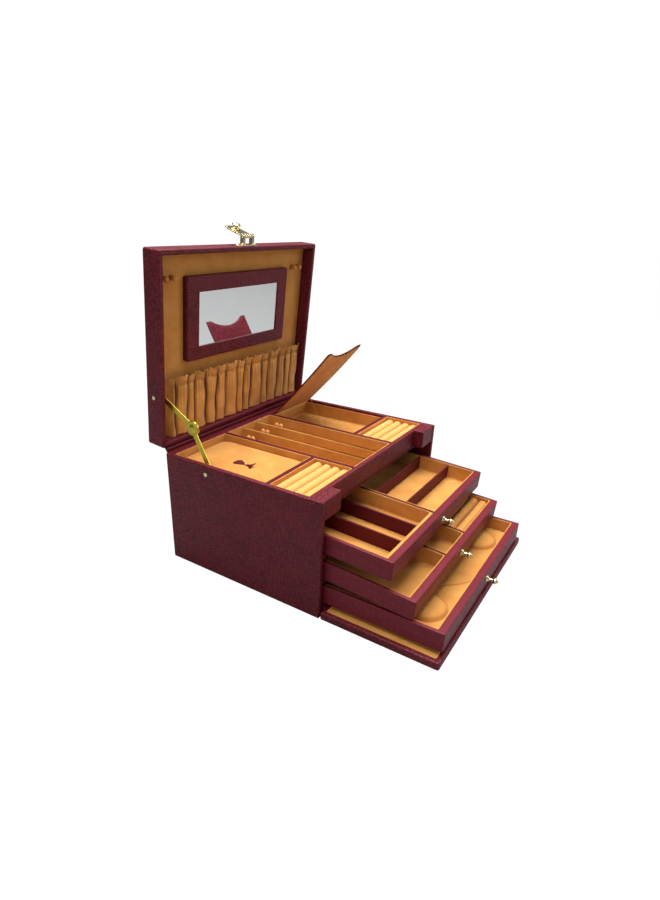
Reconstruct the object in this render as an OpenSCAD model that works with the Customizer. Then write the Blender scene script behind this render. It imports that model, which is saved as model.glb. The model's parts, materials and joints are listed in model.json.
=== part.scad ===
// Leather jewellery case with a mirrored lid, a compartment tray, three drawers and a fold-down front.
// Millimetres, +Z up, +Y towards the back. The origin is the centre of the case's underside.
// Everything stands as the case is shown open: lid up, drawers out, front panel flat.

/* [Case] */
// Width over the side walls
case_w = 280; // [260:5:320]
// Depth of the case without its front panel
case_d = 210; // [205:5:230]
// Height of the case to the top of the tray
case_h = 135; // [135:1:145]
// Thickness of a side wall
side_t = 6; // [5:0.5:7]
// Thickness of the back wall
back_t = 9; // [7:0.5:10]
// Thickness of the base board
base_t = 9; // [8:0.5:9.5]

/* [Lid] */
// Angle from closed at which the stay holds the lid
lid_open = 84.8; // [60:0.1:90]
// Outside height of the closed lid
lid_depth = 23.5; // [23:0.5:26]
// Depth from the rim to the lining
lid_recess = 16; // [15.5:0.5:17]
// Thickness of the lid's four walls
lid_wall_t = 5.5; // [4.5:0.5:6]

/* [Drawers] */
// Outside width of a drawer
drawer_w = 258; // [250:1:260]
// Outside height of a drawer
drawer_h = 21.5; // [19:0.5:22]
// Length of a drawer from face to back
drawer_len = 178; // [160:1:180]
// Thickness of a drawer's front board
drawer_front_t = 8; // [6:0.5:10]
// Thickness of a drawer's sides and back
drawer_side_t = 4.5; // [3.5:0.5:5]

/* [Front panel] */
// Length of the fold-down panel from hinge to free edge
panel_len = 130; // [110:1:132]
// Thickness of the fold-down panel
panel_t = 8.7; // [6:0.1:9]

/* [Tray] */
// Height of the tray's front rail
rail_h = 24; // [20:1:24]
// How far the rail stands back from the corner blocks
rail_setback = 13; // [8:1:15]
// Opening angle of the flap over the right-hand cell
flap_open = 45.8; // [30:0.1:60]

/* [Hidden] */
$fn = 48;
leather = "#57202e";
suede = "#d9974f";
cream = "#f0bf7c";
brass = "#c9b45f";

half_w = case_w / 2;
inner_x = half_w - side_t;
front_y = -case_d / 2;
back_y = case_d / 2;
back_in_y = back_y - back_t;

// Tray
lining_t = 1.2;
tray_floor_t = 3;
tray_z = case_h - rail_h;
tray_floor_z = tray_z + tray_floor_t;
rail_t = 6;
rail_y = front_y + rail_setback;
rail_in_y = rail_y + rail_t;
block_w = 31;
block_h = 22;
divider_t = 5;
long_div_x = 46.2;
cross_div_y = -35;
cell_div_x = 14.2;
cell_div_t = 3;
side_cell_x0 = long_div_x + divider_t / 2;
lining_top = case_h - 0.6;
flap_cell_top = case_h - 3.5;
peg_x = cell_div_x + 15.6;
peg_y = [66.5, 73.5];
peg_r = 2.8;
peg_h = 16;
roll_pitch = 11.5;
roll_n = 4;
roll_top = case_h - 3;

// Lid hinge line, and the closed lid's place: its back edge, its rim height and its front edge
hinge_y = back_y + 4.3;
hinge_z = case_h + 1.3;
lid_back_y = back_y + 1;
rim_z = case_h + 0.6;
lid_front_y = front_y;
lid_len = lid_back_y - lid_front_y;
lid_in_x = half_w - lid_wall_t;

// Mirror, pegs and pocket, measured up from the lid's hinged edge
mirror_x = 92;
mirror_s = [89, 182];
mirror_lift = 7;
glass_x = 73;
glass_s = [104.5, 164.5];
glass_t = 2;
glass_depth = 1.5;
lid_peg_s = 181;
lid_peg_x = [109.5, 120.8];
lid_peg_r = 3.2;
lid_peg_h = 8;
pocket_s = [6.5, 76];
pocket_n = [7.6, 9];
pocket_x = [-121, 132];

// Stay: pivots on the case and on the lid, and the middle joint, as [y, z] with the lid open
stay_case = [44, 125];
stay_mid = [68.5, 170.4];
stay_lid = [115, 198];
stay_w = 6.2;
stay_disc_r = 8.5;
stay_t = 1;
lower_arm_x = -131.9;
upper_arm_x = -130.6;
pivot_r = 1.5;
rivet_r = 2.3;
rivet_t = 0.9;
washer_r = 2.8;
washer_t = 0.8;
pivot_gap = 0.05;

// Clasp: pin height above the lid's front face, and its distance above the rim
pin_out = 10.5;
pin_up = 5;
pin_r = 1;
knuckle_r = 2.4;
clasp_open = 166;
clasp_len = 30;
clasp_half_w = 10;
blade_t = 1.4;
tongue_half_w = 5.7;
catch_at = 19;
clasp_plate_half_w = 19;
clasp_plate_t = 1.2;
clasp_plate_n = [1.5, 12];
post_x = [-10, 6];
post_w = 4;
clasp_rivet_x = 15;

// Drawers: height of the underside at the mouth, how far each stands out, and its droop
mouth_z = [72.5, 41.7, 12.8];
reach = [71, 97, 129];
droop = [3.15, 3.9, 0];
runner_t = 3;
runner_w = 11;
runner_gap = 0.3;
bottom_t = 2;
box_in_x = drawer_w / 2 - drawer_side_t;
pad_floor_t = 4;
thin_div_t = 2.6;

// Flap hinge, its clearance to the cell walls and its thickness
flap_y = back_in_y - 2.5;
flap_z = case_h - 0.4;
flap_t = 1.8;
flap_gap = 0.9;
flap_front_y = cross_div_y + divider_t / 2 + 1;
flap_len = flap_y - flap_front_y;
flap_lining_t = 1;
finger_r = 58;
finger_out = 48;
cord_r = 0.4;
// Ends of the flap's cord: on the flap's underside and on the long divider
flap_cord_points = [[113, 75.6, 147.9], [92, 56, 143.2], [71, 35, 138.2], [52, 16, 135.5]];

// Range of width w about a middle, and a range moved by a step
function span(middle, w) = [middle - w / 2, middle + w / 2];
function shift(range, step) = [range[0] + step, range[1] + step];

// Box between two corners
module box(x, y, z)
    translate([x[0], y[0], z[0]]) cube([x[1] - x[0], y[1] - y[0], z[1] - z[0]]);

// A shape and its mirror image on the other side
module pair() {
    children();
    mirror([1, 0, 0]) children();
}

// Cylinder along X between two x values, at [y, z]
module bar_x(x, at, r)
    translate([x[0], at[0], at[1]]) rotate([0, 90, 0]) cylinder(r = r, h = x[1] - x[0]);

// Open-topped skin that lines a cell: four thin walls and a floor
module skin(x, y, z, t = lining_t)
    difference() {
        box(x, y, z);
        box([x[0] + t, x[1] - t], [y[0] + t, y[1] - t], [z[0] + t, z[1] + 1]);
    }

// Puts what is drawn for the closed lid in its open place
module on_lid()
    translate([0, hinge_y, hinge_z]) rotate([-lid_open, 0, 0]) translate([0, -hinge_y, -hinge_z])
        children();

// Box on the closed lid: s runs from the hinged edge to the front, n from the rim to the top
module lid_box(x, s, n)
    box(x, [lid_back_y - s[1], lid_back_y - s[0]], [rim_z + n[0], rim_z + n[1]]);

// Puts a drawer's own frame at the case's mouth: y = 0 is the mouth, z = 0 the drawer's underside
module at_mouth(i)
    translate([0, front_y, mouth_z[i]]) rotate([droop[i], 0, 0]) children();

// The same with y = 0 at the drawer's face
module at_face(i)
    at_mouth(i) translate([0, -reach[i], 0]) children();

// Row of padded ring rolls lying along X on a floor
module rolls(x, y0, z, n, pitch, top)
    for (k = [0 : n - 1])
        translate([0, y0 + (k + 0.5) * pitch, 0]) intersection() {
            box(x, [-pitch / 2 + 0.15, pitch / 2 - 0.15], [z, top]);
            bar_x(x, [0, top - pitch / 2], pitch / 2);
        }

// ---- Case ----

module case_left_side()
    color(leather) difference() {
        box([-half_w, -inner_x], [front_y, back_y], [0, case_h]);
        bar_x([-half_w - 1, -inner_x + 1], stay_case, pivot_r + pivot_gap);
    }

module case_right_side()
    color(leather) box([inner_x, half_w], [front_y, back_y], [0, case_h]);

module case_back()
    color(leather) box([-inner_x, inner_x], [back_in_y, back_y], [base_t, case_h]);

module case_base()
    color(leather) box([-inner_x, inner_x], [front_y, back_y], [0, base_t]);

// ---- Tray ----
module tray_board()
    color(leather) box([-inner_x, inner_x], [rail_y, back_in_y], [tray_z, tray_floor_z]);

module tray_front_rail()
    color(leather) box([-inner_x, inner_x], [rail_y, rail_in_y], [tray_floor_z, case_h]);

module tray_corner_blocks()
    color(leather) pair()
        box([inner_x - block_w, inner_x], [front_y + 0.5, rail_y], [case_h - block_h, case_h]);

module tray_dividers()
    color(leather) pair() {
        box(span(long_div_x, divider_t), [rail_in_y, back_in_y], [tray_floor_z, case_h]);
        box([side_cell_x0, inner_x], span(cross_div_y, divider_t), [tray_floor_z, case_h]);
    }

module tray_cell_dividers()
    color(suede) pair()
        box(span(cell_div_x, cell_div_t), [rail_in_y + lining_t, back_in_y - lining_t],
            [tray_floor_z + lining_t, case_h - 2]);

module tray_lining()
    color(suede) {
        back_cell = [cross_div_y + divider_t / 2, back_in_y];
        front_cell = [rail_in_y, cross_div_y - divider_t / 2];
        difference() {
            skin([-inner_x, -side_cell_x0], back_cell, [tray_floor_z, lining_top]);
            bar_x([-half_w, -inner_x + 2 * lining_t], stay_case, pivot_r + pivot_gap);
        }
        skin([side_cell_x0, inner_x], back_cell, [tray_floor_z, flap_cell_top]);
        pair() skin([side_cell_x0, inner_x], front_cell, [tray_floor_z, lining_top]);
        skin([-1, 1] * (long_div_x - divider_t / 2), [rail_in_y, back_in_y], [tray_floor_z, lining_top]);
    }

module ring_rolls(side)
    rolls(side > 0 ? [side_cell_x0 + lining_t, inner_x - lining_t] : [-inner_x + lining_t,
        -side_cell_x0 - lining_t], rail_in_y + lining_t, tray_floor_z + lining_t, roll_n, roll_pitch,
        roll_top);

module ring_rolls_left()
    color(cream) ring_rolls(-1);

module ring_rolls_right()
    color(cream) ring_rolls(1);

// Short round pegs standing in pairs near the back of the three long cells
module tray_pegs()
    color(suede) for (x = [-1, 0, 1] * peg_x, y = peg_y)
        translate([x, y, tray_floor_z + lining_t]) cylinder(r = peg_r, h = peg_h);

module pad_ledges()
    color(suede) for (y = [cross_div_y + divider_t / 2 + lining_t, back_in_y - lining_t - ledge_w])
        box([-inner_x + 5, -side_cell_x0 - lining_t], [y, y + ledge_w],
            [tray_floor_z + lining_t, pad_z[0] - pad_rest_gap]);

module drawer_runners()
    color(leather) pair() {
        for (i = [0, 1])
            at_mouth(i) box([inner_x - runner_w, inner_x], [1, case_d - back_t - 3],
                [-runner_gap - runner_t, -runner_gap]);
        box([inner_x - runner_w, inner_x], [front_y + 1, back_in_y], [base_t, mouth_z[2] - runner_gap]);
    }

// Strip down the back of the case that ends in a round bead on the hinge line
module lid_hinge_leather()
    color(leather) {
        hinge_half = inner_x - 1;
        bar_x([-hinge_half, hinge_half], [hinge_y, hinge_z], 2.5);
        box([-hinge_half, hinge_half], [back_y, back_y + 3.2], [case_h - 17, case_h - 0.4]);
    }

module stay_rivet_case()
    color(brass) {
        bar_x([-half_w - 0.3, lower_arm_x + stay_t + 0.2], stay_case, pivot_r);
        bar_x([-half_w - rivet_t, -half_w], stay_case, rivet_r);
        bar_x([-inner_x + lining_t, lower_arm_x - 0.1], stay_case, washer_r);
        bar_x([lower_arm_x + stay_t + 0.1, lower_arm_x + stay_t + 0.1 + washer_t], stay_case, washer_r);
    }

// ---- Flap over the right-hand back cell ----
module on_flap()
    translate([0, flap_y, flap_z]) rotate([-flap_open, 0, 0]) children();

// Outline of the closed flap, with its hollow finger edge; y = 0 is the hinge
module flap_outline(inset)
    difference() {
        translate([side_cell_x0 + flap_gap + inset, -flap_len + inset])
            square([inner_x - side_cell_x0 - 2 * (flap_gap + inset), flap_len - 2 * inset]);
        translate([(side_cell_x0 + inner_x) / 2, -flap_len - finger_out - inset])
            circle(r = finger_r + inset, $fn = 96);
    }

module flap_board()
    color(leather) on_flap() translate([0, -0.2, -flap_t]) linear_extrude(flap_t) flap_outline(0);

module flap_lining()
    color(suede) on_flap() translate([0, -0.2, -flap_t - flap_lining_t])
        linear_extrude(flap_lining_t) flap_outline(1);

// Thin round thread through the points of its route
module thread(points, r)
    for (k = [1 : len(points) - 1]) {
        run = points[k] - points[k - 1];
        translate(points[k - 1])
            rotate([0, acos(run[2] / norm(run)), atan2(run[1], run[0])])
                cylinder(r = r, h = norm(run), $fn = 8);
    }

module flap_cord()
    color(cream) thread(flap_cord_points, cord_r);

// ---- Lift-out pad over the left-hand back cell ----
pad_x = [-128.6, -side_cell_x0 - lining_t - 0.8];
pad_y = [cross_div_y + divider_t / 2 + lining_t + 0.8, back_in_y - lining_t - 0.8];
pad_z = [121.6, 128.4];
pad_rest_gap = 0.3;
ledge_w = 6;
bow_at = [-106, 16];
bow_turn = 84;

module pad_cover()
    color(suede) translate([0, 0, pad_z[0]]) linear_extrude(pad_z[1] - pad_z[0]) {
        corner_r = 12;
        union() {
            translate([pad_x[0], pad_y[0]]) square([pad_x[1] - pad_x[0], pad_y[1] - pad_y[0] - corner_r]);
            translate([pad_x[0] + corner_r, pad_y[0]])
                square([pad_x[1] - pad_x[0] - 2 * corner_r, pad_y[1] - pad_y[0]]);
            for (x = [pad_x[0] + corner_r, pad_x[1] - corner_r])
                translate([x, pad_y[1] - corner_r]) circle(r = corner_r);
        }
    }

module pad_bow()
    color(leather) translate([bow_at[0], bow_at[1], pad_z[1]]) rotate([0, 0, bow_turn]) {
        cylinder(r = 2.2, h = 2.6);
        pair() translate([0, 0, 0.2]) linear_extrude(1.4) polygon([[1, -1.5], [11, -5], [11, 5], [1, 1.5]]);
    }

// ---- Lid ----
module lid_top_board()
    color(leather) on_lid() lid_box([-half_w, half_w], [0, lid_len], [lid_recess + lining_t, lid_depth]);

module lid_sides()
    color(leather) on_lid() difference() {
        pair() lid_box([lid_in_x, half_w], [0, lid_len], [0, lid_recess + lining_t]);
        translate([0, hinge_y, hinge_z]) rotate([lid_open, 0, 0]) translate([0, -hinge_y, -hinge_z])
            bar_x([-half_w - 1, -lid_in_x + 1], stay_lid, pivot_r + pivot_gap);
    }

module lid_front_rail()
    color(leather) on_lid()
        lid_box([-lid_in_x, lid_in_x], [lid_len - lid_wall_t, lid_len], [0, lid_recess + lining_t]);

module lid_back_rail()
    color(leather) on_lid() lid_box([-lid_in_x, lid_in_x], [0, lid_wall_t], [0, lid_recess + lining_t]);

module lid_lining()
    color(suede) on_lid() lid_box([-lid_in_x, lid_in_x], [lid_wall_t, lid_len - lid_wall_t],
        [lid_recess, lid_recess + lining_t]);

module mirror_frame()
    color(leather) on_lid() difference() {
        lid_box([-mirror_x, mirror_x], mirror_s, [lid_recess - mirror_lift, lid_recess]);
        lid_box([-glass_x, glass_x], glass_s, [lid_recess - mirror_lift - 1, glass_n[1]]);
        glass_slab();
    }

// The mirror runs under the frame's lip on all four sides
glass_lip = 2;
glass_n = shift([glass_depth, glass_depth + glass_t], lid_recess - mirror_lift);
module glass_slab()
    lid_box([-1, 1] * (glass_x + glass_lip), glass_s + [-1, 1] * glass_lip, glass_n);

module mirror_glass()
    color("#c8d4dc") on_lid() glass_slab();

module lid_pegs()
    color(suede) on_lid() pair() for (x = lid_peg_x)
        translate([x, lid_back_y - lid_peg_s, rim_z + lid_recess - lid_peg_h])
            cylinder(r = lid_peg_r, h = lid_peg_h);

// Gathered pocket: a front wall with two end walls, open towards the lid's front edge
module lid_pocket()
    color(cream) on_lid() {
        lid_box(pocket_x, pocket_s, pocket_n);
        for (x = [pocket_x[0], pocket_x[1] - 2])
            lid_box([x, x + 2], pocket_s, [pocket_n[1], lid_recess]);
        lid_box(pocket_x + [2, -2], [pocket_s[0], pocket_s[0] + 2], [pocket_n[1], lid_recess]);
    }

module stay_rivet_lid()
    color(brass) {
        bar_x([-half_w - 0.3, upper_arm_x + stay_t + 0.2], stay_lid, pivot_r);
        bar_x([-half_w - rivet_t, -half_w], stay_lid, rivet_r);
        bar_x([-lid_in_x, upper_arm_x - 0.1], stay_lid, washer_r);
        bar_x([upper_arm_x + stay_t + 0.1, upper_arm_x + stay_t + 0.1 + washer_t], stay_lid, washer_r);
    }

// ---- Clasp on the lid's front edge ----
pin_at = [lid_front_y - pin_out, rim_z + pin_up];
plate_y = lid_front_y - clasp_plate_t;

module clasp_plate()
    color(brass) on_lid() difference() {
        union() {
            box([-clasp_plate_half_w, clasp_plate_half_w], [plate_y, lid_front_y],
                shift(clasp_plate_n, rim_z));
            for (x = post_x) {
                bar_x([x, x + post_w], pin_at, knuckle_r);
                box([x, x + post_w], [pin_at[0], plate_y], span(pin_at[1], 2 * knuckle_r));
            }
        }
        bar_x([-20, 20], pin_at, pin_r + 0.02);
    }

module clasp_rivets()
    color(brass) on_lid() pair()
        translate([clasp_rivet_x, plate_y, rim_z + 7]) rotate([90, 0, 0]) intersection() {
            cylinder(r = 2.4, h = 2);
            translate([0, 0, -1.3]) sphere(r = 2.8);
        }

module clasp_pin()
    color(brass) on_lid() bar_x([-10.6, 10.6], pin_at, pin_r);

// Puts what is drawn hanging from the pin at the origin in the clasp's raised place
module on_clasp()
    on_lid() translate([0, pin_at[0], pin_at[1]]) rotate([-clasp_open, 0, 0]) children();

module clasp_arm()
    color(brass) on_clasp() difference() {
        union() {
            bar_x([-tongue_half_w, tongue_half_w], [0, 0], knuckle_r);
            box([-tongue_half_w, tongue_half_w], span(0, blade_t), [-4, 0]);
            box([-clasp_half_w, clasp_half_w], span(0, blade_t), [-clasp_len + 6, -3.4]);
            box([-clasp_half_w + 3, clasp_half_w - 3], span(0, blade_t), [-clasp_len, -clasp_len + 6.1]);
        }
        bar_x([-20, 20], [0, 0], pin_r + pivot_gap);
    }

module clasp_catch()
    color(brass) on_clasp() translate([0, blade_t / 2, -catch_at]) rotate([-90, 0, 0]) {
        cylinder(r = 5, h = 5.5);
        translate([0, 0, 5.5]) cylinder(r = 4, h = 1.5);
    }

// ---- Lid stay ----
// Flat bar between two pivots [y, z], with a round end at the first and a disc at the second
module stay_bar(a, b, x) {
    run = b - a;
    translate([x, 0, 0]) rotate([90, 0, 90]) linear_extrude(stay_t) difference() {
        union() {
            translate(a) circle(r = stay_w / 2 + 0.3);
            translate(b) circle(r = stay_disc_r);
            translate(a) rotate(atan2(run[1], run[0]))
                translate([0, -stay_w / 2]) square([norm(run), stay_w]);
        }
        translate(a) circle(r = pivot_r + pivot_gap);
    }
}

module stay_lower_arm()
    color(brass) stay_bar(stay_case, stay_mid, lower_arm_x);

module stay_upper_arm()
    color(brass) {
        stay_bar(stay_lid, stay_mid, upper_arm_x);
        bar_x([upper_arm_x + stay_t - 0.1, upper_arm_x + stay_t + 0.8], stay_mid, 3);
    }

// ---- Drawers ----
module drawer_front(i)
    color(leather) at_face(i)
        box(span(0, drawer_w), [0, drawer_front_t], [0, drawer_h]);

module drawer_box(i)
    color(leather) at_face(i) difference() {
        box(span(0, drawer_w), [drawer_front_t, drawer_len], [0, drawer_h]);
        box([-box_in_x, box_in_x], [drawer_front_t - 1, drawer_len - drawer_side_t],
            [bottom_t, drawer_h + 1]);
    }

module drawer_lining(i)
    color(suede) at_face(i)
        skin([-box_in_x, box_in_x], [drawer_front_t, drawer_len - drawer_side_t],
            [bottom_t, drawer_h - 0.6]);

// Turned knob on the middle of a drawer's face: rosette, stem and ball
knob_reach = 9.4;
knob_r = 3.3;

module drawer_knob(i)
    color(brass) at_face(i) translate([0, 0, drawer_h / 2]) rotate([90, 0, 0]) {
        cylinder(r = 4, h = 1);
        cylinder(r1 = 3, r2 = 1.8, h = 2.4);
        cylinder(r = 1.7, h = 9);
        translate([0, 0, knob_reach]) sphere(r = knob_r);
    }

// Clear inside of a drawer along its length and above its floor
cell_y = [drawer_front_t + lining_t, drawer_len - drawer_side_t - lining_t];
cell_z = [bottom_t + lining_t, drawer_h - 1.6];
cell_x = box_in_x - lining_t;

d1_wall_x = -10.5;
d1_long_x = [-86, -48];
d1_cross_y = [42, 81.5, 121];

module drawer_1_front() drawer_front(0);
module drawer_1_box() drawer_box(0);
module drawer_1_lining() drawer_lining(0);
module drawer_1_knob() drawer_knob(0);

module drawer_1_dividers()
    color(leather) at_face(0) {
        wall = span(d1_wall_x, divider_t);
        box(wall, cell_y, [cell_z[0], drawer_h - 0.3]);
        for (x = d1_long_x)
            box(span(x, thin_div_t), cell_y, cell_z);
        for (y = d1_cross_y)
            box([wall[1], cell_x], span(y, thin_div_t), cell_z);
    }

d2_wall_x = [-32, 26];
d2_roll_pitch = 12.2;
d2_roll_n = 6;
d2_cross_y = cell_y[0] + d2_roll_n * d2_roll_pitch + thin_div_t / 2 + 0.3;

module drawer_2_front() drawer_front(1);
module drawer_2_box() drawer_box(1);
module drawer_2_lining() drawer_lining(1);
module drawer_2_knob() drawer_knob(1);

module drawer_2_dividers()
    color(leather) at_face(1) {
        for (x = d2_wall_x)
            box(span(x, divider_t), cell_y, [cell_z[0], drawer_h - 0.3]);
        box([d2_wall_x[1] + divider_t / 2, cell_x], span(d2_cross_y, thin_div_t), cell_z);
    }

module drawer_2_ring_rolls()
    color(cream) at_face(1)
        rolls([d2_wall_x[1] + divider_t / 2 + 0.3, cell_x - 0.3], cell_y[0], cell_z[0], d2_roll_n,
            d2_roll_pitch, drawer_h - 2.5);

module drawer_3_front() drawer_front(2);
module drawer_3_box() drawer_box(2);
module drawer_3_lining() drawer_lining(2);
module drawer_3_knob() drawer_knob(2);

// Moulded necklace pad: a soft floor with a raised horseshoe whose round ends face the front
horseshoe_x = 82;
horseshoe_w = 44;
horseshoe_end_y = 37;
horseshoe_h = 7;

module drawer_3_necklace_pad()
    color(suede) at_face(2) {
        box([-cell_x, cell_x], cell_y, [cell_z[0], cell_z[0] + pad_floor_t]);
        translate([0, 0, cell_z[0] + pad_floor_t]) linear_extrude(horseshoe_h) {
            bend_y = 78;
            pair() {
                translate([horseshoe_x, horseshoe_end_y]) circle(d = horseshoe_w);
                translate([horseshoe_x - horseshoe_w / 2, horseshoe_end_y])
                    square([horseshoe_w, bend_y - horseshoe_end_y]);
            }
            translate([0, bend_y]) intersection() {
                difference() {
                    circle(r = horseshoe_x + horseshoe_w / 2, $fn = 96);
                    circle(r = horseshoe_x - horseshoe_w / 2, $fn = 96);
                }
                translate([-cell_x, 0]) square([2 * cell_x, cell_y[1] - bend_y - 1]);
            }
        }
    }

// ---- Fold-down front panel ----
panel_gap = 1.2;
panel_y = [front_y - panel_gap - panel_len, front_y - panel_gap];
panel_border = 5;
keeper_at = [0, panel_y[0] + 15];
keeper_w = 24;
keeper_t = 1.2;
keeper_half_d = 8;
keeper_hole_r = 5.6;

module front_panel()
    color(leather) difference() {
        box([-half_w, half_w], panel_y, [0, panel_t]);
        translate([keeper_at[0], keeper_at[1], 0]) {
            box(span(0, keeper_w), [-1, 1] * keeper_half_d, [-1, keeper_t]);
            translate([0, 0, -1]) cylinder(r = keeper_hole_r, h = panel_t - 0.4);
        }
    }

module front_panel_lining()
    color(suede) box([-half_w + panel_border, half_w - panel_border],
        [panel_y[0] + panel_border, panel_y[1] - panel_border], [panel_t, panel_t + 0.8]);

module panel_hinge_leather()
    color(leather) box([-inner_x + 1, inner_x - 1], [panel_y[1] - panel_border + 1, front_y - 0.4],
        [panel_t, panel_t + 0.6]);

module clasp_keeper()
    color(brass) translate([keeper_at[0], keeper_at[1], 0]) difference() {
        box(span(0, keeper_w), [-1, 1] * keeper_half_d, [0, keeper_t]);
        translate([0, 0, -1]) cylinder(r = keeper_hole_r, h = 4);
    }

case_left_side();
case_right_side();
case_back();
case_base();
tray_board();
tray_front_rail();
tray_corner_blocks();
tray_dividers();
tray_cell_dividers();
tray_lining();
ring_rolls_left();
ring_rolls_right();
tray_pegs();
pad_ledges();
drawer_runners();
lid_hinge_leather();
stay_rivet_case();
flap_board();
flap_lining();
flap_cord();
pad_cover();
pad_bow();
lid_top_board();
lid_sides();
lid_front_rail();
lid_back_rail();
lid_lining();
mirror_frame();
mirror_glass();
lid_pegs();
lid_pocket();
stay_rivet_lid();
clasp_plate();
clasp_rivets();
clasp_pin();
clasp_arm();
clasp_catch();
stay_lower_arm();
stay_upper_arm();
drawer_1_front();
drawer_1_box();
drawer_1_lining();
drawer_1_dividers();
drawer_1_knob();
drawer_2_front();
drawer_2_box();
drawer_2_lining();
drawer_2_dividers();
drawer_2_ring_rolls();
drawer_2_knob();
drawer_3_front();
drawer_3_box();
drawer_3_lining();
drawer_3_necklace_pad();
drawer_3_knob();
front_panel();
front_panel_lining();
panel_hinge_leather();
clasp_keeper();
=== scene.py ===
import json
import math

import bmesh
import bpy
import numpy as np
from bpy.props import FloatProperty, FloatVectorProperty, IntProperty, PointerProperty
from bpy.types import Operator, Panel, PropertyGroup
from mathutils import Matrix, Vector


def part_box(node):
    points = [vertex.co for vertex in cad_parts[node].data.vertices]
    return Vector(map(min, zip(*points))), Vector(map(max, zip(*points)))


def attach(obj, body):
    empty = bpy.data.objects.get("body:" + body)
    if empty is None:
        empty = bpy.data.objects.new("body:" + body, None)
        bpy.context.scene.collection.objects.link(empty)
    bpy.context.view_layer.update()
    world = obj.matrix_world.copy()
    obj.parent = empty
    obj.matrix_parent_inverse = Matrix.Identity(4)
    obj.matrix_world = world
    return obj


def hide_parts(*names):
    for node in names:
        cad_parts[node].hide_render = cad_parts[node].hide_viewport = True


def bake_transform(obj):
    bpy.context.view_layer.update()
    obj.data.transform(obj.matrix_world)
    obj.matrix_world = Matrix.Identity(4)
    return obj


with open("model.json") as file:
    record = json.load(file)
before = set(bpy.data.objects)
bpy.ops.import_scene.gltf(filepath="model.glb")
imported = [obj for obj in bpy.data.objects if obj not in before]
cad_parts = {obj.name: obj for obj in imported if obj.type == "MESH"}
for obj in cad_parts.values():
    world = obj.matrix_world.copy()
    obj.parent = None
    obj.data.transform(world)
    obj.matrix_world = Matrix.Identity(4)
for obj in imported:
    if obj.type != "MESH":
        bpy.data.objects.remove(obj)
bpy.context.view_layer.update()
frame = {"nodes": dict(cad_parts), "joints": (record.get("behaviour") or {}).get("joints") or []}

bl_info = {
    "name": "Leather jewellery case",
    "version": (1, 0, 0),
    "blender": (4, 5, 0),
    "location": "View3D > Sidebar > Jewellery Case",
    "description": "Builds the leather, suede and brass of an open jewellery case on its CAD frame",
    "category": "Object",
}

MM = 0.001
JOINTS = {joint["name"]: joint for joint in frame["joints"]}


# ---- Sizes and colours that a user would change ----

class CaseFinishes(PropertyGroup):
    burgundy: FloatVectorProperty(
        name="Burgundy", description="Colour of the embossed leather",
        subtype="COLOR", default=(0.168, 0.0145, 0.0250), min=0, max=1)
    crease: FloatVectorProperty(
        name="Crease", description="Colour in the creases between the scales",
        subtype="COLOR", default=(0.058, 0.0055, 0.0095), min=0, max=1)
    tan: FloatVectorProperty(
        name="Tan suede", description="Colour of the linings",
        subtype="COLOR", default=(0.63, 0.305, 0.079), min=0, max=1)
    cream: FloatVectorProperty(
        name="Cream suede", description="Colour of the ring rolls",
        subtype="COLOR", default=(0.74, 0.385, 0.118), min=0, max=1)
    brass: FloatVectorProperty(
        name="Brass", description="Colour of the clasp, knobs and rivets",
        subtype="COLOR", default=(0.90, 0.77, 0.47), min=0, max=1)
    stay: FloatVectorProperty(
        name="Stay brass", description="Colour of the yellow lid stay",
        subtype="COLOR", default=(0.66, 0.53, 0.07), min=0, max=1)
    scale_size: FloatProperty(
        name="Scale size", description="Width of one embossed scale",
        subtype="DISTANCE", unit="LENGTH", default=0.0032, min=0.001, max=0.02)


class CaseShapes(PropertyGroup):
    leather_edge: FloatProperty(
        name="Leather edge", description="Radius of the leather where it turns over a board",
        subtype="DISTANCE", unit="LENGTH", default=0.0011, min=0.0003, max=0.003)
    pleats: IntProperty(
        name="Pleats", description="Number of pleats across the gathered pocket",
        default=15, min=6, max=30)
    pleat_depth: FloatProperty(
        name="Pleat depth", description="Depth of the folds in the gathered pocket",
        subtype="DISTANCE", unit="LENGTH", default=0.0068, min=0.001, max=0.008)
    flap_curl: FloatProperty(
        name="Flap curl", description="How far the flap's free edge curls up",
        subtype="DISTANCE", unit="LENGTH", default=0.005, min=0.0, max=0.01)
    pad_crown: FloatProperty(
        name="Pad crown", description="How far the lift-out pad swells above its edge",
        subtype="DISTANCE", unit="LENGTH", default=0.0034, min=0.0, max=0.006)


class CaseStage(PropertyGroup):
    lens: FloatProperty(
        name="Lens", description="Focal length for a 36 mm sensor",
        subtype="DISTANCE_CAMERA", default=22.441, min=10, max=100)
    key_power: FloatProperty(
        name="Key light", description="Power of the large soft light above the open drawers",
        unit="POWER", default=98.0, min=0, max=200)
    room_light: FloatProperty(
        name="Room light", description="Strength of the even light from all round",
        default=0.15, min=0, max=2)


# ---- Placing: from a piece's own level frame to the case's frame ----

class Place:
    """A tilt about the line along X through a pivot: point -> pivot + turn * (point - pivot)."""

    def __init__(self, degrees=0.0, pivot=(0.0, 0.0, 0.0)):
        c, s = math.cos(math.radians(degrees)), math.sin(math.radians(degrees))
        self.turn = np.array([[1, 0, 0], [0, c, -s], [0, s, c]])
        self.pivot = np.array(pivot, float)

    def out(self, points):
        return (points - self.pivot) @ self.turn.T + self.pivot

    def back(self, points):
        return (points - self.pivot) @ self.turn + self.pivot

    def box(self, *nodes):
        """Lowest and highest corners of CAD nodes, measured in the level frame."""
        clouds = []
        for node in nodes:
            mesh = frame["nodes"][node].data
            cloud = np.empty(len(mesh.vertices) * 3, np.float32)
            mesh.vertices.foreach_get("co", cloud)
            clouds.append(self.back(cloud.reshape(-1, 3).astype(float)))
        cloud = np.concatenate(clouds)
        return cloud.min(0), cloud.max(0)


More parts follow.
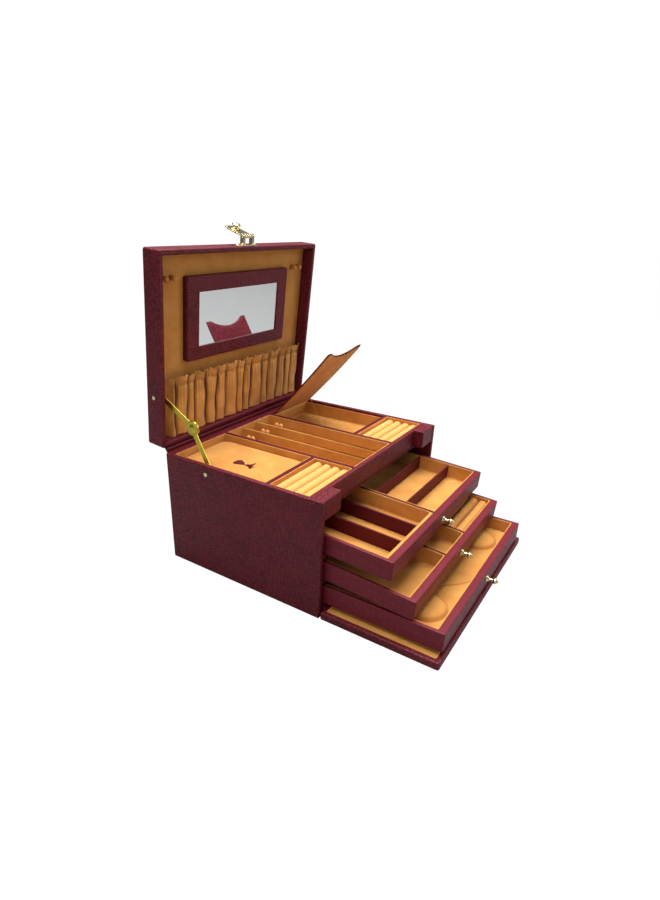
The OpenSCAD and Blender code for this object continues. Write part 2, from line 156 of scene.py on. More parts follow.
def joint_place(name, degrees):
    return Place(degrees, JOINTS[name]["pos_m"])


def drawer_place(number):
    """A drawer's own frame is level; it droops by the tilt of its slide."""
    axis = JOINTS[f"drawer_{number}_slide"]["axis"]
    return Place(math.degrees(math.atan2(axis[2], axis[1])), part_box(f"drawer_{number}_front")[0])


LEVEL = Place()
LID_ANGLE = JOINTS["lid_hinge"]["range_deg"][1]
LID = joint_place("lid_hinge", -LID_ANGLE)
FLAP = joint_place("flap_hinge", -45.8)


# ---- Surfaces ----

def outline(corners, radii, steps=5):
    """Straight runs joined by quarter circles.

    corner + radius * (-(1 - sin a) * run before + (1 - cos a) * run after), and the outward
    normal is sin a * run before - cos a * run after, turned round at an inward corner."""
    corners = np.asarray(corners, float)
    radii = np.broadcast_to(np.asarray(radii, float), len(corners))[:, None, None]
    before = corners - np.roll(corners, 1, axis=0)
    before /= np.linalg.norm(before, axis=1, keepdims=True)
    after = np.roll(before, -1, axis=0)
    side = np.sign(before[:, 0] * after[:, 1] - before[:, 1] * after[:, 0])[:, None, None]
    a = np.linspace(0, math.pi / 2, steps)[None, :, None]
    before, after = before[:, None, :], after[:, None, :]
    points = corners[:, None, :] + radii * (after * (1 - np.cos(a)) - before * (1 - np.sin(a)))
    normals = side * (before * np.sin(a) - after * np.cos(a))
    return points.reshape(-1, 2), normals.reshape(-1, 2)


def rectangle(x, y):
    return [(x[0], y[0]), (x[1], y[0]), (x[1], y[1]), (x[0], y[1])]


def rings(line, profile):
    """Stack of rings: for each (inset, height) the outline less inset * its normal, at that
    height."""
    points, normals = line
    profile = np.asarray(profile, float)
    flat = points[None] - profile[:, 0, None, None] * normals[None]
    height = np.broadcast_to(profile[:, 1, None, None], flat.shape[:2] + (1,))
    return np.concatenate([flat, height], axis=2)


def turn_over(edge, height, up=True, steps=5):
    """Quarter circle of radius edge that ends at height: inset edge * (1 - cos a), rise edge *
    sin a."""
    a = np.linspace(0, math.pi / 2, steps)
    row = np.stack([edge * (1 - np.cos(a)), height + (1 if up else -1) * edge * (np.sin(a) - 1)], 1)
    return row if up else row[::-1]


def loft(grid, wrap=False, caps=True):
    """Quads between neighbouring rings of a (ring, column, xyz) grid, each ring closed on
    itself."""
    rows, columns = grid.shape[:2]
    index = np.arange(rows * columns).reshape(rows, columns)
    near = index if wrap else index[:-1]
    far = np.roll(index, -1, axis=0) if wrap else index[1:]
    quads = np.stack([near, np.roll(near, -1, 1), np.roll(far, -1, 1), far], -1).reshape(-1, 4)
    ends = [] if wrap or not caps else [index[:1, ::-1], index[-1:]]
    return grid.reshape(-1, 3), [quads] + ends


def shell_of(front, back):
    """Closed thin shell from two (row, column, xyz) grids that face each other."""
    rows, columns = front.shape[:2]
    a = np.arange(rows * columns).reshape(rows, columns)
    b = a + rows * columns
    faces = [np.stack([a[:-1, :-1], a[:-1, 1:], a[1:, 1:], a[1:, :-1]], -1).reshape(-1, 4),
             np.stack([b[:-1, :-1], b[1:, :-1], b[1:, 1:], b[:-1, 1:]], -1).reshape(-1, 4)]
    rim_a = np.concatenate([a[0, :-1], a[:-1, -1], a[-1, :0:-1], a[:0:-1, 0]])
    rim_b = rim_a + rows * columns
    faces.append(np.stack([rim_a, rim_b, np.roll(rim_b, -1), np.roll(rim_a, -1)], -1))
    return np.concatenate([front.reshape(-1, 3), back.reshape(-1, 3)]), faces


def board(low, high, edge, corner=None, top=None):
    """Leather-wrapped board: a rounded rectangle whose rim turns over at both faces."""
    corner = edge * 1.08 if corner is None else max(corner, edge * 1.08)
    line = outline(rectangle((low[0], high[0]), (low[1], high[1])), corner)
    upper = edge if top is None else top
    profile = np.concatenate([turn_over(edge, low[2], up=False), turn_over(upper, high[2])])
    return loft(rings(line, profile))


def along_y(corners, radii, y0, y1, edge):
    """Plate whose rounded (x, z) outline runs along Y, its rims turned over."""
    profile = np.concatenate([turn_over(edge, y0, up=False, steps=3), turn_over(edge, y1, steps=3)])
    grid = rings(outline(corners, radii), profile)
    return loft(grid[..., [0, 2, 1]])


def along_x(corners, radii, x0, x1, edge):
    """Plate whose rounded (y, z) outline runs along X, its rims turned over."""
    profile = np.concatenate([turn_over(edge, x0, up=False, steps=3), turn_over(edge, x1, steps=3)])
    grid = rings(outline(corners, radii), profile)
    return loft(grid[..., [2, 0, 1]])


def tray(low, high, inner_low, inner_high, floor, edge, corner=1.2 * MM, cove=1.5 * MM,
         inner_corner=1.2 * MM):
    """Open box: up the outer wall, over the rim in a half round and down inside to a coved
    floor."""
    outer = outline(rectangle((low[0], high[0]), (low[1], high[1])), corner)
    inside = outline(rectangle((inner_low[0], inner_high[0]), (inner_low[1], inner_high[1])),
                     inner_corner)
    outer_rings = rings(outer, np.concatenate(
        [turn_over(edge, low[2], up=False), turn_over(edge, high[2])]))
    down = turn_over(edge, high[2])[::-1] * (-1, 1)
    hollow = turn_over(cove, floor, up=False)[::-1]
    inner_rings = rings(inside, np.concatenate([down, hollow]))
    return loft(np.concatenate([outer_rings, inner_rings]))


def lathe(profile, origin, axis, steps=28):
    """Turned form: origin + height * axis + radius * (cos t * u + sin t * v)."""
    profile = np.asarray(profile, float)
    axis = np.asarray(axis, float) / np.linalg.norm(axis)
    u = np.cross(axis, (1, 0, 0) if abs(axis[0]) < 0.9 else (0, 1, 0))
    u /= np.linalg.norm(u)
    v = np.cross(axis, u)
    t = np.linspace(0, 2 * math.pi, steps, endpoint=False)
    circle = np.cos(t)[:, None] * u + np.sin(t)[:, None] * v
    grid = (np.asarray(origin, float) + profile[:, 1, None, None] * axis
            + np.maximum(profile[:, 0], 0.02 * MM)[:, None, None] * circle[None])
    return loft(grid)


def dome(radius, height, base=0.0, steps=6):
    """Profile of a low dome: radius * cos a across, base + height * sin a along."""
    a = np.linspace(0, math.pi / 2, steps)
    return np.stack([radius * np.cos(a), base + height * np.sin(a)], 1)


def tube(path, radius, steps=10):
    """Round thread: a circle carried along a path, square to its direction."""
    path = np.asarray(path, float)
    run = np.gradient(path, axis=0)
    run /= np.linalg.norm(run, axis=1, keepdims=True)
    u = np.cross(run, (0, 0, 1.0))
    u /= np.linalg.norm(u, axis=1, keepdims=True)
    v = np.cross(run, u)
    t = np.linspace(0, 2 * math.pi, steps, endpoint=False)[None, :, None]
    grid = path[:, None] + radius * (np.cos(t) * u[:, None] + np.sin(t) * v[:, None])
    return loft(grid)


def smooth_path(points, count):
    """Points spread evenly by length along the straight runs between the given ones."""
    points = np.asarray(points, float)
    length = np.concatenate([[0], np.cumsum(np.linalg.norm(np.diff(points, axis=0), axis=1))])
    where = np.linspace(0, length[-1], count)
    return np.stack([np.interp(where, length, points[:, k]) for k in range(3)], 1)


def eased(points, count):
    """Line through the points spread evenly, then each point averaged with its neighbours."""
    line = smooth_path(np.pad(np.asarray(points, float), ((0, 0), (0, 1))), count)[:, :2]
    for _ in range(4):
        line[1:-1] = (line[:-2] + 2 * line[1:-1] + line[2:]) / 4
    return line


def ribbon(line, x, thickness):
    """Strip whose (y, z) line is carried along X, with its back set off square to the line."""
    run = np.gradient(line, axis=0)
    run /= np.linalg.norm(run, axis=1, keepdims=True)
    across = np.stack([-run[:, 1], run[:, 0]], 1) * thickness / 2
    xs = np.linspace(x[0], x[1], 30)[None, :, None]
    faces = []
    for side in (-1, 1):
        yz = np.broadcast_to((line + side * across)[:, None], (len(line), 30, 2))
        faces.append(np.concatenate([np.broadcast_to(xs, yz.shape[:2] + (1,)), yz], 2))
    return shell_of(*faces)


def piece(name, parts, material, body, replaces=(), place=LEVEL, fold=None):
    """One mesh object from closed parts, put in place, faced outwards, with area-weighted
    normals."""
    points, faces, base = [], [], 0
    for part_points, part_faces in parts:
        points.append(part_points)
        for block in part_faces:
            faces += (block + base).tolist()
        base += len(part_points)
    points = place.out(np.concatenate(points))
    mesh = bpy.data.meshes.new(name)
    mesh.from_pydata(points.tolist(), [], faces)
    form = bmesh.new()
    form.from_mesh(mesh)
    bmesh.ops.recalc_face_normals(form, faces=form.faces)
    form.to_mesh(mesh)
    form.free()
    weigh_normals(mesh)
    mesh.materials.append(material)
    # fold holds how deep each point lies in a crease; the suede and cloth finishes paint shade
    # there as darker colour
    if fold is not None:
        depth = mesh.attributes.new("fold", "FLOAT", "POINT")
        depth.data.foreach_set("value", np.clip(fold, 0, 1).astype(np.float32))
    obj = bpy.data.objects.new(name, mesh)
    bpy.context.scene.collection.objects.link(obj)
    if body:
        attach(obj, body)
    if replaces:
        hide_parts(*replaces)
    return obj


def weigh_normals(mesh):
    """Each vertex normal is the sum of its faces' normals times their areas, so flats stay flat."""
    mesh.shade_smooth()
    count = len(mesh.polygons)
    normals, areas = np.empty(count * 3), np.empty(count)
    loops, vertex = np.empty(count, int), np.empty(len(mesh.loops), int)
    mesh.polygons.foreach_get("normal", normals)
    mesh.polygons.foreach_get("area", areas)
    mesh.polygons.foreach_get("loop_total", loops)
    mesh.loops.foreach_get("vertex_index", vertex)
    weighted = np.repeat(normals.reshape(-1, 3) * areas[:, None], loops, axis=0)
    total = np.zeros((len(mesh.vertices), 3))
    np.add.at(total, vertex, weighted)
    total /= np.maximum(np.linalg.norm(total, axis=1, keepdims=True), 1e-12)
    mesh.normals_split_custom_set_from_vertices(total.tolist())


def refinish(node, material):
    """A CAD node whose shape is right keeps it and gets the finish."""
    obj = frame["nodes"][node]
    obj.data.materials.clear()
    obj.data.materials.append(material)


# ---- Finishes ----

class Wire:
    """A number's socket in a material, so that a sum written on it adds its Math nodes."""

    def __init__(self, finish, socket):
        self.finish, self.socket = finish, socket

    def _sum(self, operation, *values):
        return self.finish.node("ShaderNodeMath", {"operation": operation},
                                dict(enumerate(values)))

    def __add__(self, other):
        return self._sum("ADD", self, other)

    def __radd__(self, other):
        return self._sum("ADD", other, self)

    def __sub__(self, other):
        return self._sum("SUBTRACT", self, other)

    def __rsub__(self, other):
        return self._sum("SUBTRACT", other, self)

    def __mul__(self, other):
        return self._sum("MULTIPLY", self, other)

    def __rmul__(self, other):
        return self._sum("MULTIPLY", other, self)


class Finish:
    """A material being made: every node comes from node(), and shade() sets the surface."""

    def __init__(self, name):
        self.material = bpy.data.materials.new(name)
        self.material.use_nodes = True
        self.tree = self.material.node_tree
        self.shader = next(n for n in self.tree.nodes if n.type == "BSDF_PRINCIPLED")

    def node(self, kind, settings=None, sockets=None, out=0):
        made = self.tree.nodes.new(kind)
        for key, value in (settings or {}).items():
            if key == "stops":
                for stop, (at, colour) in zip(made.color_ramp.elements, value):
                    stop.position, stop.color = at, colour
            else:
                setattr(made, key, value)
        for key, value in (sockets or {}).items():
            self.plug(made.inputs[key], value)
        return Wire(self, made.outputs[out])

    def plug(self, socket, value):
        if isinstance(value, Wire):
            self.tree.links.new(value.socket, socket)
        elif hasattr(value, "__len__") and len(value) == 3 and socket.type == "RGBA":
            socket.default_value = (*value, 1)
        else:
            socket.default_value = value

    def place(self, stretch=(1, 1, 1), turn=(0, 0, 0)):
        where = self.node("ShaderNodeTexCoord", out="Object")
        return self.node("ShaderNodeMapping", {}, {"Vector": where, "Scale": stretch,
                                                  "Rotation": turn})

    def noise(self, where, scale, detail=3.0, rough=0.5):
        return self.node("ShaderNodeTexNoise", {},
                         {"Vector": where, "Scale": scale, "Detail": detail, "Roughness": rough})

    def fold(self):
        """Depth in a crease, 0 to 1, which a piece stores on its points: painted shade, as the
        suede and cloth finishes darken their colour by it.
        """
        return self.node("ShaderNodeAttribute", {"attribute_name": "fold"}, out=2)

    def between(self, share, first, second):
        return self.node("ShaderNodeMix", {"data_type": "RGBA"},
                         {0: share, 6: first, 7: second}, out=2)

    def steps(self, value, low, high):
        """Smooth rise from 0 at low to 1 at high."""
        return self.node("ShaderNodeMapRange", {"interpolation_type": "SMOOTHSTEP"},
                         {0: value, 1: low, 2: high, 3: 0.0, 4: 1.0})

    def bump(self, height, distance, strength):
        return self.node("ShaderNodeBump", {}, {"Height": height, "Distance": distance,
                                               "Strength": strength})

    def shade(self, **sockets):
        for name, value in sockets.items():
            self.plug(self.shader.inputs[name.replace("_", " ")], value)
        return self.material


def colours():
    return bpy.context.scene.jewel_finishes


def finish(name):
    """The named material, made the first time that a piece asks for it."""
    full = name + "_finish"
    return bpy.data.materials.get(full) or MAKERS[name](full)


def make_burgundy(name, stretch=(0.7, 0.62, 1.1), depth=0.3, contrast=0.8):
    """Embossed leather: rows of small raised scales with dark creases, over a fine grain."""
    look, kit = Finish(name), colours()
    sway = look.noise(look.place(), 55.0, 1.0)
    where = look.node("ShaderNodeVectorMath", {"operation": "MULTIPLY_ADD"},
                      {0: look.node("ShaderNodeCombineXYZ", {}, {0: sway, 1: sway, 2: sway}),
                       1: (0.004, 0.004, 0.006), 2: look.place(stretch)})
    scale = 1 / kit.scale_size
    cell = look.node("ShaderNodeTexVoronoi", {"feature": "DISTANCE_TO_EDGE"},
                     {"Vector": where, "Scale": scale, "Randomness": 0.62})
    raised = look.steps(cell, 0.02, 0.26)
    tints = look.node("ShaderNodeTexVoronoi", {"feature": "F1"},
                      {"Vector": where, "Scale": scale, "Randomness": 0.62}, out=1)
    tint = look.node("ShaderNodeSeparateColor", {}, {0: tints})
    broad = look.noise(where, 22.0, 2.0)
    grain = look.noise(where, 1500.0, 2.0)
    base = look.between((1 - contrast) + raised * (0.78 + tint * 0.22) * contrast,
                        tuple(kit.crease), tuple(kit.burgundy))
    worn = look.between(look.steps(broad, 0.3, 0.75) * 0.12, base,
                        tuple(min(1, c * 1.35 + 0.006) for c in kit.burgundy))
    height = raised + grain * 0.12
    return look.shade(Base_Color=worn, Roughness=0.4 - raised * 0.06 + broad * 0.12,
                      Normal=look.bump(height, depth * MM, 0.75), Coat_Weight=0.04,
                      Coat_Roughness=0.3, Specular_IOR_Level=0.2)


def make_drawer_burgundy(name):
    """The same leather on the drawer fronts, where the scales stand tall and narrow."""
    return make_burgundy(name, (0.8, 0.5, 0.3), 0.12, 0.3)


def make_plain_burgundy(name):
    """Thin smooth leather on dividers and inside the walls."""
    look, kit = Finish(name), colours()
    where = look.place()
    grain = look.noise(where, 900.0, 3.0)
    broad = look.noise(where, 30.0, 2.0)
    base = look.between(broad, tuple(c * 0.42 for c in kit.burgundy),
                        tuple(c * s for c, s in zip(kit.burgundy, (0.72, 0.62, 0.5))))
    return look.shade(Base_Color=base, Roughness=0.5 + grain * 0.1,
                      Normal=look.bump(grain, 0.12 * MM, 0.6), Specular_IOR_Level=0.14)


def make_suede(name, colour=None, shadow=0.72, nap=1.0):
    """Suede: a short nap whose direction changes in soft patches, with a light sheen."""
    look, kit = Finish(name), colours()
    colour = tuple(kit.tan) if colour is None else colour
    where = look.place()
    patch = look.noise(where, 38.0, 3.0, 0.6)
    fibre = look.noise(look.place((1, 0.35, 1), (0.2, 0.1, 0.7)), 1900.0, 3.0, 0.7)
    tone = look.steps(patch * 0.6 + fibre * 0.4, 0.3, 0.68)
    base = look.between(tone,
                        tuple(c * s for c, s in zip(colour, (shadow + 0.12, shadow, shadow - 0.1))),
                        tuple(colour))
    # Painted shade: the suede is painted darker in the hollows of creases, by the piece's fold
    # depth
    base = look.between(look.fold(), base, tuple(c * s for c, s in zip(colour, (0.3, 0.2, 0.12))))
    return look.shade(Base_Color=base, Roughness=0.86 + fibre * 0.1,
                      Normal=look.bump(fibre + patch * 0.5, 0.22 * MM * nap, 0.5),
                      Specular_IOR_Level=0.12, Sheen_Weight=0.1, Sheen_Roughness=0.4)


def make_cream(name):
    return make_suede(name, tuple(colours().cream), 0.86, 0.8)


def make_cloth(name):
    """Soft woven pocket cloth: a fine crossed weave under the nap."""
    look, kit = Finish(name), colours()
    where = look.place()
    across = look.node("ShaderNodeTexWave", {"bands_direction": "X"},
                       {"Vector": where, "Scale": 420.0, "Distortion": 1.5, "Detail": 1.0}, out=1)
    along = look.node("ShaderNodeTexWave", {"bands_direction": "Z"},
                      {"Vector": where, "Scale": 420.0, "Distortion": 1.5, "Detail": 1.0}, out=1)
    patch = look.noise(where, 60.0, 3.0)
    weave = across * 0.5 + along * 0.5
    base = look.between(look.steps(patch * 0.7 + weave * 0.3, 0.25, 0.7),
                        tuple(c * s for c, s in zip(kit.tan, (0.84, 0.76, 0.66))),
                        tuple(c * s for c, s in zip(kit.tan, (1.22, 1.27, 1.2))))
    # Painted shade: the cloth is painted darker in the hollows of creases, by the piece's fold
    # depth
    base = look.between(look.fold(), base, tuple(c * s for c, s in zip(kit.tan, (0.24, 0.16, 0.1))))
    return look.shade(Base_Color=base, Roughness=0.72 + patch * 0.12,
                      Normal=look.bump(weave, 0.08 * MM, 0.35), Specular_IOR_Level=0.25,
                      Sheen_Weight=0.3, Sheen_Roughness=0.35)


def make_brass(name, colour=None, rough=0.16):
    """Plated brass with faint polishing marks."""
    look, kit = Finish(name), colours()
    colour = tuple(kit.brass) if colour is None else colour
    where = look.place()
    marks = look.noise(look.place((1, 1, 6)), 700.0, 3.0)
    broad = look.noise(where, 120.0, 2.0)
    base = look.between(broad, tuple(c * 0.86 for c in colour), colour)
    return look.shade(Base_Color=base, Metallic=1.0, Roughness=rough + marks * 0.1,
                      Normal=look.bump(marks, 0.02 * MM, 0.4))


def make_stay(name):
    return make_brass(name, tuple(colours().stay), 0.26)


def make_mirror(name):
    """Silvered glass: bright and nearly smooth, with the faintest haze."""
    look = Finish(name)
    haze = look.noise(look.place(), 40.0, 2.0)
    return look.shade(Base_Color=look.between(haze, (0.86, 0.87, 0.88), (0.92, 0.93, 0.935)),
                      Metallic=1.0, Roughness=0.012 + haze * 0.012)


def make_board(name):
    """Dark paper-covered board inside the case."""
    look, kit = Finish(name), colours()
    fibre = look.noise(look.place(), 500.0, 4.0, 0.6)
    base = look.between(fibre, tuple(c * 0.25 for c in kit.burgundy),
                        tuple(c * 0.5 for c in kit.burgundy))
    return look.shade(Base_Color=base, Roughness=0.75 + fibre * 0.1,
                      Normal=look.bump(fibre, 0.05 * MM, 0.5))


def make_thread(name):
    """Twisted thread with a slight shine."""
    look, kit = Finish(name), colours()
    twist = look.node("ShaderNodeTexWave", {"bands_direction": "DIAGONAL"},
                      {"Vector": look.place(), "Scale": 600.0}, out=1)
    base = look.between(twist, tuple(c * 0.62 for c in kit.tan), tuple(kit.cream))
    return look.shade(Base_Color=base, Roughness=0.55 + twist * 0.1,
                      Normal=look.bump(twist, 0.1 * MM, 0.6))


def make_stage_floor(name):
    """Pale floor that a camera sees as nearly white, and that lights the case only softly."""
    look = Finish(name)
    speck = look.noise(look.place(), 300.0, 2.0)
    look.shade(Base_Color=look.between(speck, (0.29, 0.29, 0.29), (0.31, 0.31, 0.31)),
               Roughness=0.9, Specular_IOR_Level=0.1)
    seen = look.node("ShaderNodeLightPath", out="Is Camera Ray")
    glow = look.node("ShaderNodeEmission", {}, {"Color": (1, 1, 1, 1), "Strength": 1.1})
    share = seen * 0.92
    mixed = look.node("ShaderNodeMixShader", {}, {0: share, 1: Wire(look, look.shader.outputs[0]),
                                                2: glow})
    output = next(n for n in look.tree.nodes if n.type == "OUTPUT_MATERIAL")
    look.plug(output.inputs["Surface"], mixed)
    return look.material


MAKERS = {
    "burgundy_leather": make_burgundy,
    "burgundy_plain": make_plain_burgundy,
    "burgundy_drawer": make_drawer_burgundy,
    "tan_suede": make_suede,
    "cream_suede": make_cream,
    "gathered_cloth": make_cloth,
    "brass": make_brass,
    "stay_brass": make_stay,
    "mirror": make_mirror,
    "board": make_board,
    "thread": make_thread,
    "stage_floor": make_stage_floor,
}


def shapes():
    return bpy.context.scene.jewel_shapes


# ---- Operators ----

class JEWEL_OT_stage(Operator):
    """Camera, floor, room light and soft lamps"""
    bl_idname = "jewel.stage"
    bl_label = "Stage"

    def execute(self, context):
        scene, setup = context.scene, context.scene.jewel_stage
        scene.view_settings.view_transform = "Standard"
        right = np.array((0.55988, -0.82838, 0.01796))
        up = np.array((0.33247, 0.24445, 0.91088))
        camera = bpy.data.cameras.new("case_camera")
        camera.lens, camera.sensor_width = setup.lens, 36.0
        camera.shift_x, camera.shift_y = 0.0327, 0.0272
        camera.clip_start = 0.01
        holder = bpy.data.objects.new("case_camera", camera)
        turn = Matrix(np.stack([right, up, np.cross(right, up)], 1).tolist()).to_4x4()
        holder.matrix_world = Matrix.Translation((-0.54391, -0.34741, 0.37772)) @ turn
        scene.collection.objects.link(holder)
        scene.camera = holder

        mesh = bpy.data.meshes.new("stage_floor")
        mesh.from_pydata([(-9, -9, 0), (9, -9, 0), (9, 9, 0), (-9, 9, 0)], [], [(0, 1, 2, 3)])
        mesh.materials.append(finish("stage_floor"))
        floor = bpy.data.objects.new("stage_floor", mesh)
        scene.collection.objects.link(floor)

        world = bpy.data.worlds.new("pale_room")
        world.use_nodes = True
        scene.world = world
        tree = world.node_tree
        ground = next(n for n in tree.nodes if n.type == "BACKGROUND")
        path = tree.nodes.new("ShaderNodeLightPath")
        strength = tree.nodes.new("ShaderNodeMapRange")
        tree.links.new(path.outputs["Is Camera Ray"], strength.inputs["Value"])
        strength.inputs["To Min"].default_value = setup.room_light
        strength.inputs["To Max"].default_value = 1.05
        ground.inputs["Color"].default_value = (1, 1, 1, 1)
        tree.links.new(strength.outputs["Result"], ground.inputs["Strength"])

        for name, place, aim, size, power in (
                ("key_light", (0.3, 0.12, 2.1), (0.0, -0.05, 0.1), 1.7, setup.key_power),
                ("front_light", (1.2, -1.5, 0.9), (0.1, -0.1, 0.1), 1.2, setup.key_power * 0.10),
                ("fill_light", (-1.5, -0.3, 1.0), (0, 0, 0.1), 1.2, setup.key_power * 0.075)):
            lamp = bpy.data.lights.new(name, "AREA")
            lamp.size, lamp.energy = size, power
            light = bpy.data.objects.new(name, lamp)
            gaze = np.array(place) - np.array(aim)
            gaze /= np.linalg.norm(gaze)
            side = np.cross((0, 0, 1.0), gaze)
            side /= np.linalg.norm(side)
            turn = Matrix(np.stack([side, np.cross(gaze, side), gaze], 1).tolist()).to_4x4()
            light.matrix_world = Matrix.Translation(place) @ turn
            scene.collection.objects.link(light)
        return {"FINISHED"}


class JEWEL_OT_flap_thread(Operator):
    """Thin thread that stops the flap from falling back"""
    bl_idname = "jewel.flap_thread"
    bl_label = "Flap thread"

    def execute(self, context):
        route = np.array([(113, 75.6, 147.9), (92, 56, 143.2), (71, 35, 138.2), (52, 16, 135.5)])
        path = smooth_path(route * MM, 24)
        thread = piece("flap_thread", [tube(path, 0.4 * MM)], finish("thread"), None,
                       ["flap_cord"])
        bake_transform(thread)
        return {"FINISHED"}


class JEWEL_OT_shell(Operator):
    """Side and back walls, corner blocks, tray front rail, inner boards and the hinge's leather"""
    bl_idname = "jewel.shell"
    bl_label = "Case shell"

    def execute(self, context):
        edge = shapes().leather_edge
        leather = finish("burgundy_leather")
        low, high = LEVEL.box("case_left_side", "case_right_side", "case_back")
        in_x = LEVEL.box("case_left_side")[1][0]
        in_y = LEVEL.box("case_back")[0][1]
        corners = [(low[0], low[1]), (in_x, low[1]), (in_x, in_y), (-in_x, in_y), (-in_x, low[1]),
                   (high[0], low[1]), (high[0], high[1]), (low[0], high[1])]
        line = outline(corners, np.array([1.25, 1.25, 1.25, 1.25, 1.25, 1.25, 2.4, 2.4]) * MM)
        profile = np.concatenate([turn_over(edge, low[2], up=False), turn_over(edge, high[2])])
        piece("case_walls", [loft(rings(line, profile))], leather, "case",
              ["case_left_side", "case_right_side", "case_back"])
        blocks = []
        b_low, b_high = LEVEL.box("tray_corner_blocks")
        inner = LEVEL.box("tray_front_rail")[0][0] + 31 * MM
        for side in (-1, 1):
            x = sorted((side * (b_high[0] + 0.4 * MM), -side * inner))
            blocks.append(board((x[0], b_low[1], b_low[2]), (x[1], b_high[1] + 0.6 * MM, b_high[2]),
                                edge, 0.9 * MM))
        piece("corner_blocks", blocks, leather, "case", ["tray_corner_blocks"])
        low, high = LEVEL.box("tray_front_rail")
        piece("front_rail", [board(low, high, edge)], leather, "case",
              ["tray_front_rail"])
        low, high = LEVEL.box("case_base")
        inside = 0.5 * MM
        near = (max(low[0], -in_x - inside), low[1], low[2] + 0.2 * MM)
        far = (min(high[0], in_x + inside), min(high[1], in_y + inside), high[2])
        piece("base_board", [board(near, far, 0.4 * MM)], finish("burgundy_plain"), "case",
              ["case_base"])
        refinish("tray_board", finish("burgundy_plain"))
        refinish("drawer_runners", finish("board"))
        refinish("lid_hinge_leather", finish("burgundy_plain"))
        low, high = LEVEL.box("lid_hinge_leather")
        line = eased([(108.8, 119), (108.8, 131), (110.2, 134.5), (112.6, 137.4), (115.5, 139.6),
                      (119, 140.0), (127, 140.7)], 34) * MM
        strip = ribbon(line, (low[0], high[0]), 0.8 * MM)
        fold = piece("hinge_fold", [strip], finish("burgundy_plain"), None)
        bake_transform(fold)
        return {"FINISHED"}


class JEWEL_OT_tray(Operator):
    """Tray dividers, suede cell linings, cell dividers, pegs and the pad's ledges"""
    bl_idname = "jewel.tray"
    bl_label = "Tray cells"

    def execute(self, context):
        edge, wall = shapes().leather_edge, 1.2 * MM
        low, high = LEVEL.box("tray_dividers")
        l_low, l_high = LEVEL.box("tray_lining")
        rail = LEVEL.box("tray_front_rail")
        in_x = abs(l_low[0])
        div_x, half, cross = 46.2 * MM, 2.5 * MM, -35 * MM
        bars = []
        for side in (-1, 1):
            bars.append(board((side * div_x - half, low[1], low[2]),
                              (side * div_x + half, high[1], high[2]), edge))
            x = sorted((side * (div_x + half - MM), side * in_x))
            bars.append(board((x[0], cross - half, low[2]), (x[1], cross + half, high[2]), edge))
        piece("tray_dividers_leather", bars, finish("burgundy_plain"), "case",
              ["tray_dividers"])

        top, floor = l_high[2], l_low[2]
        flap_top = 131.5 * MM
        side_x = div_x + half
        y0, y1 = rail[1][1], l_high[1]
        cells = [((-in_x, cross + half), (-side_x, y1), top),
                 ((side_x, cross + half), (in_x, y1), flap_top),
                 ((-in_x, y0), (-side_x, cross - half), top),
                 ((side_x, y0), (in_x, cross - half), top),
                 ((-div_x + half, y0), (div_x - half, y1), top)]
        linings = []
        for (x0, y_low), (x1, y_high), rim in cells:
            linings.append(tray((x0, y_low, floor), (x1, y_high, rim),
                                (x0 + wall, y_low + wall), (x1 - wall, y_high - wall),
                                floor + wall, 0.55 * MM, corner=0.8 * MM))
        piece("tray_suede", linings, finish("tan_suede"), "case", ["tray_lining"])

        low, high = LEVEL.box("tray_cell_dividers")
        width = 3 * MM
        bars = []
        for side in (-1, 1):
            middle = side * (high[0] - width / 2)
            bars.append(board((middle - width / 2, low[1], low[2]),
                              (middle + width / 2, high[1], high[2]), 0.4 * MM, top=1.4 * MM))
        piece("cell_dividers_suede", bars, finish("tan_suede"), "case",
              ["tray_cell_dividers"])

        low, high = LEVEL.box("tray_pegs")
        tall, radius = high[2] - low[2], 2.8 * MM
        profile = np.concatenate([[(radius * 0.86, 0), (radius * 0.8, tall * 0.3),
                                   (radius * 0.84, tall * 0.55), (radius, tall * 0.7)],
                                  dome(radius, tall * 0.22, tall * 0.78)])
        pegs = []
        for x in (low[0] + radius, 0.0, high[0] - radius):
            for y in (low[1] + radius, high[1] - radius):
                pegs.append(lathe(profile, (x, y, low[2]), (0, 0, 1), 16))
        piece("cell_pegs", pegs, finish("cream_suede"), "case", ["tray_pegs"])
        refinish("pad_ledges", finish("tan_suede"))
        return {"FINISHED"}


def padded_roll(x, y, z, wander=0.0):
    """Padded roll along X: a flat-footed half round whose ends round off and whose top wavers.

    Across: y = middle + half * cos(t)**0.8, z = foot + rise * sin(t)**0.8; the ends shrink by
    sqrt(1 - (distance past the shoulder / shoulder)**2)."""
    u = np.linspace(0, 1, 46)
    shoulder = 2.6 * MM
    length = x[1] - x[0]
    from_end = np.minimum(u, 1 - u) * length
    inset = np.clip(1 - from_end / shoulder, 0, 1)
    shrink = (0.80 + 0.20 * np.sqrt(1 - inset ** 2))[:, None]
    t = np.linspace(0, math.pi, 17)[None, :]
    c, s = np.cos(t), np.sin(t)
    half, rise = (y[1] - y[0]) / 2, z[1] - z[0]
    ripple = 1 + 0.012 * np.sin(u * 37 + wander)[:, None] * s \
        + 0.01 * np.sin(u * 83 + 2 * wander)[:, None]
    across = (y[0] + y[1]) / 2 \
        + half * np.sign(c) * np.abs(c) ** 0.8 * shrink * np.minimum(ripple, 1.0)
    height = z[0] + rise * s ** 0.62 * shrink * np.minimum(ripple, 1.01)
    along = np.broadcast_to((x[0] + u * length)[:, None], across.shape)
    return loft(np.stack([along, across, height], -1))


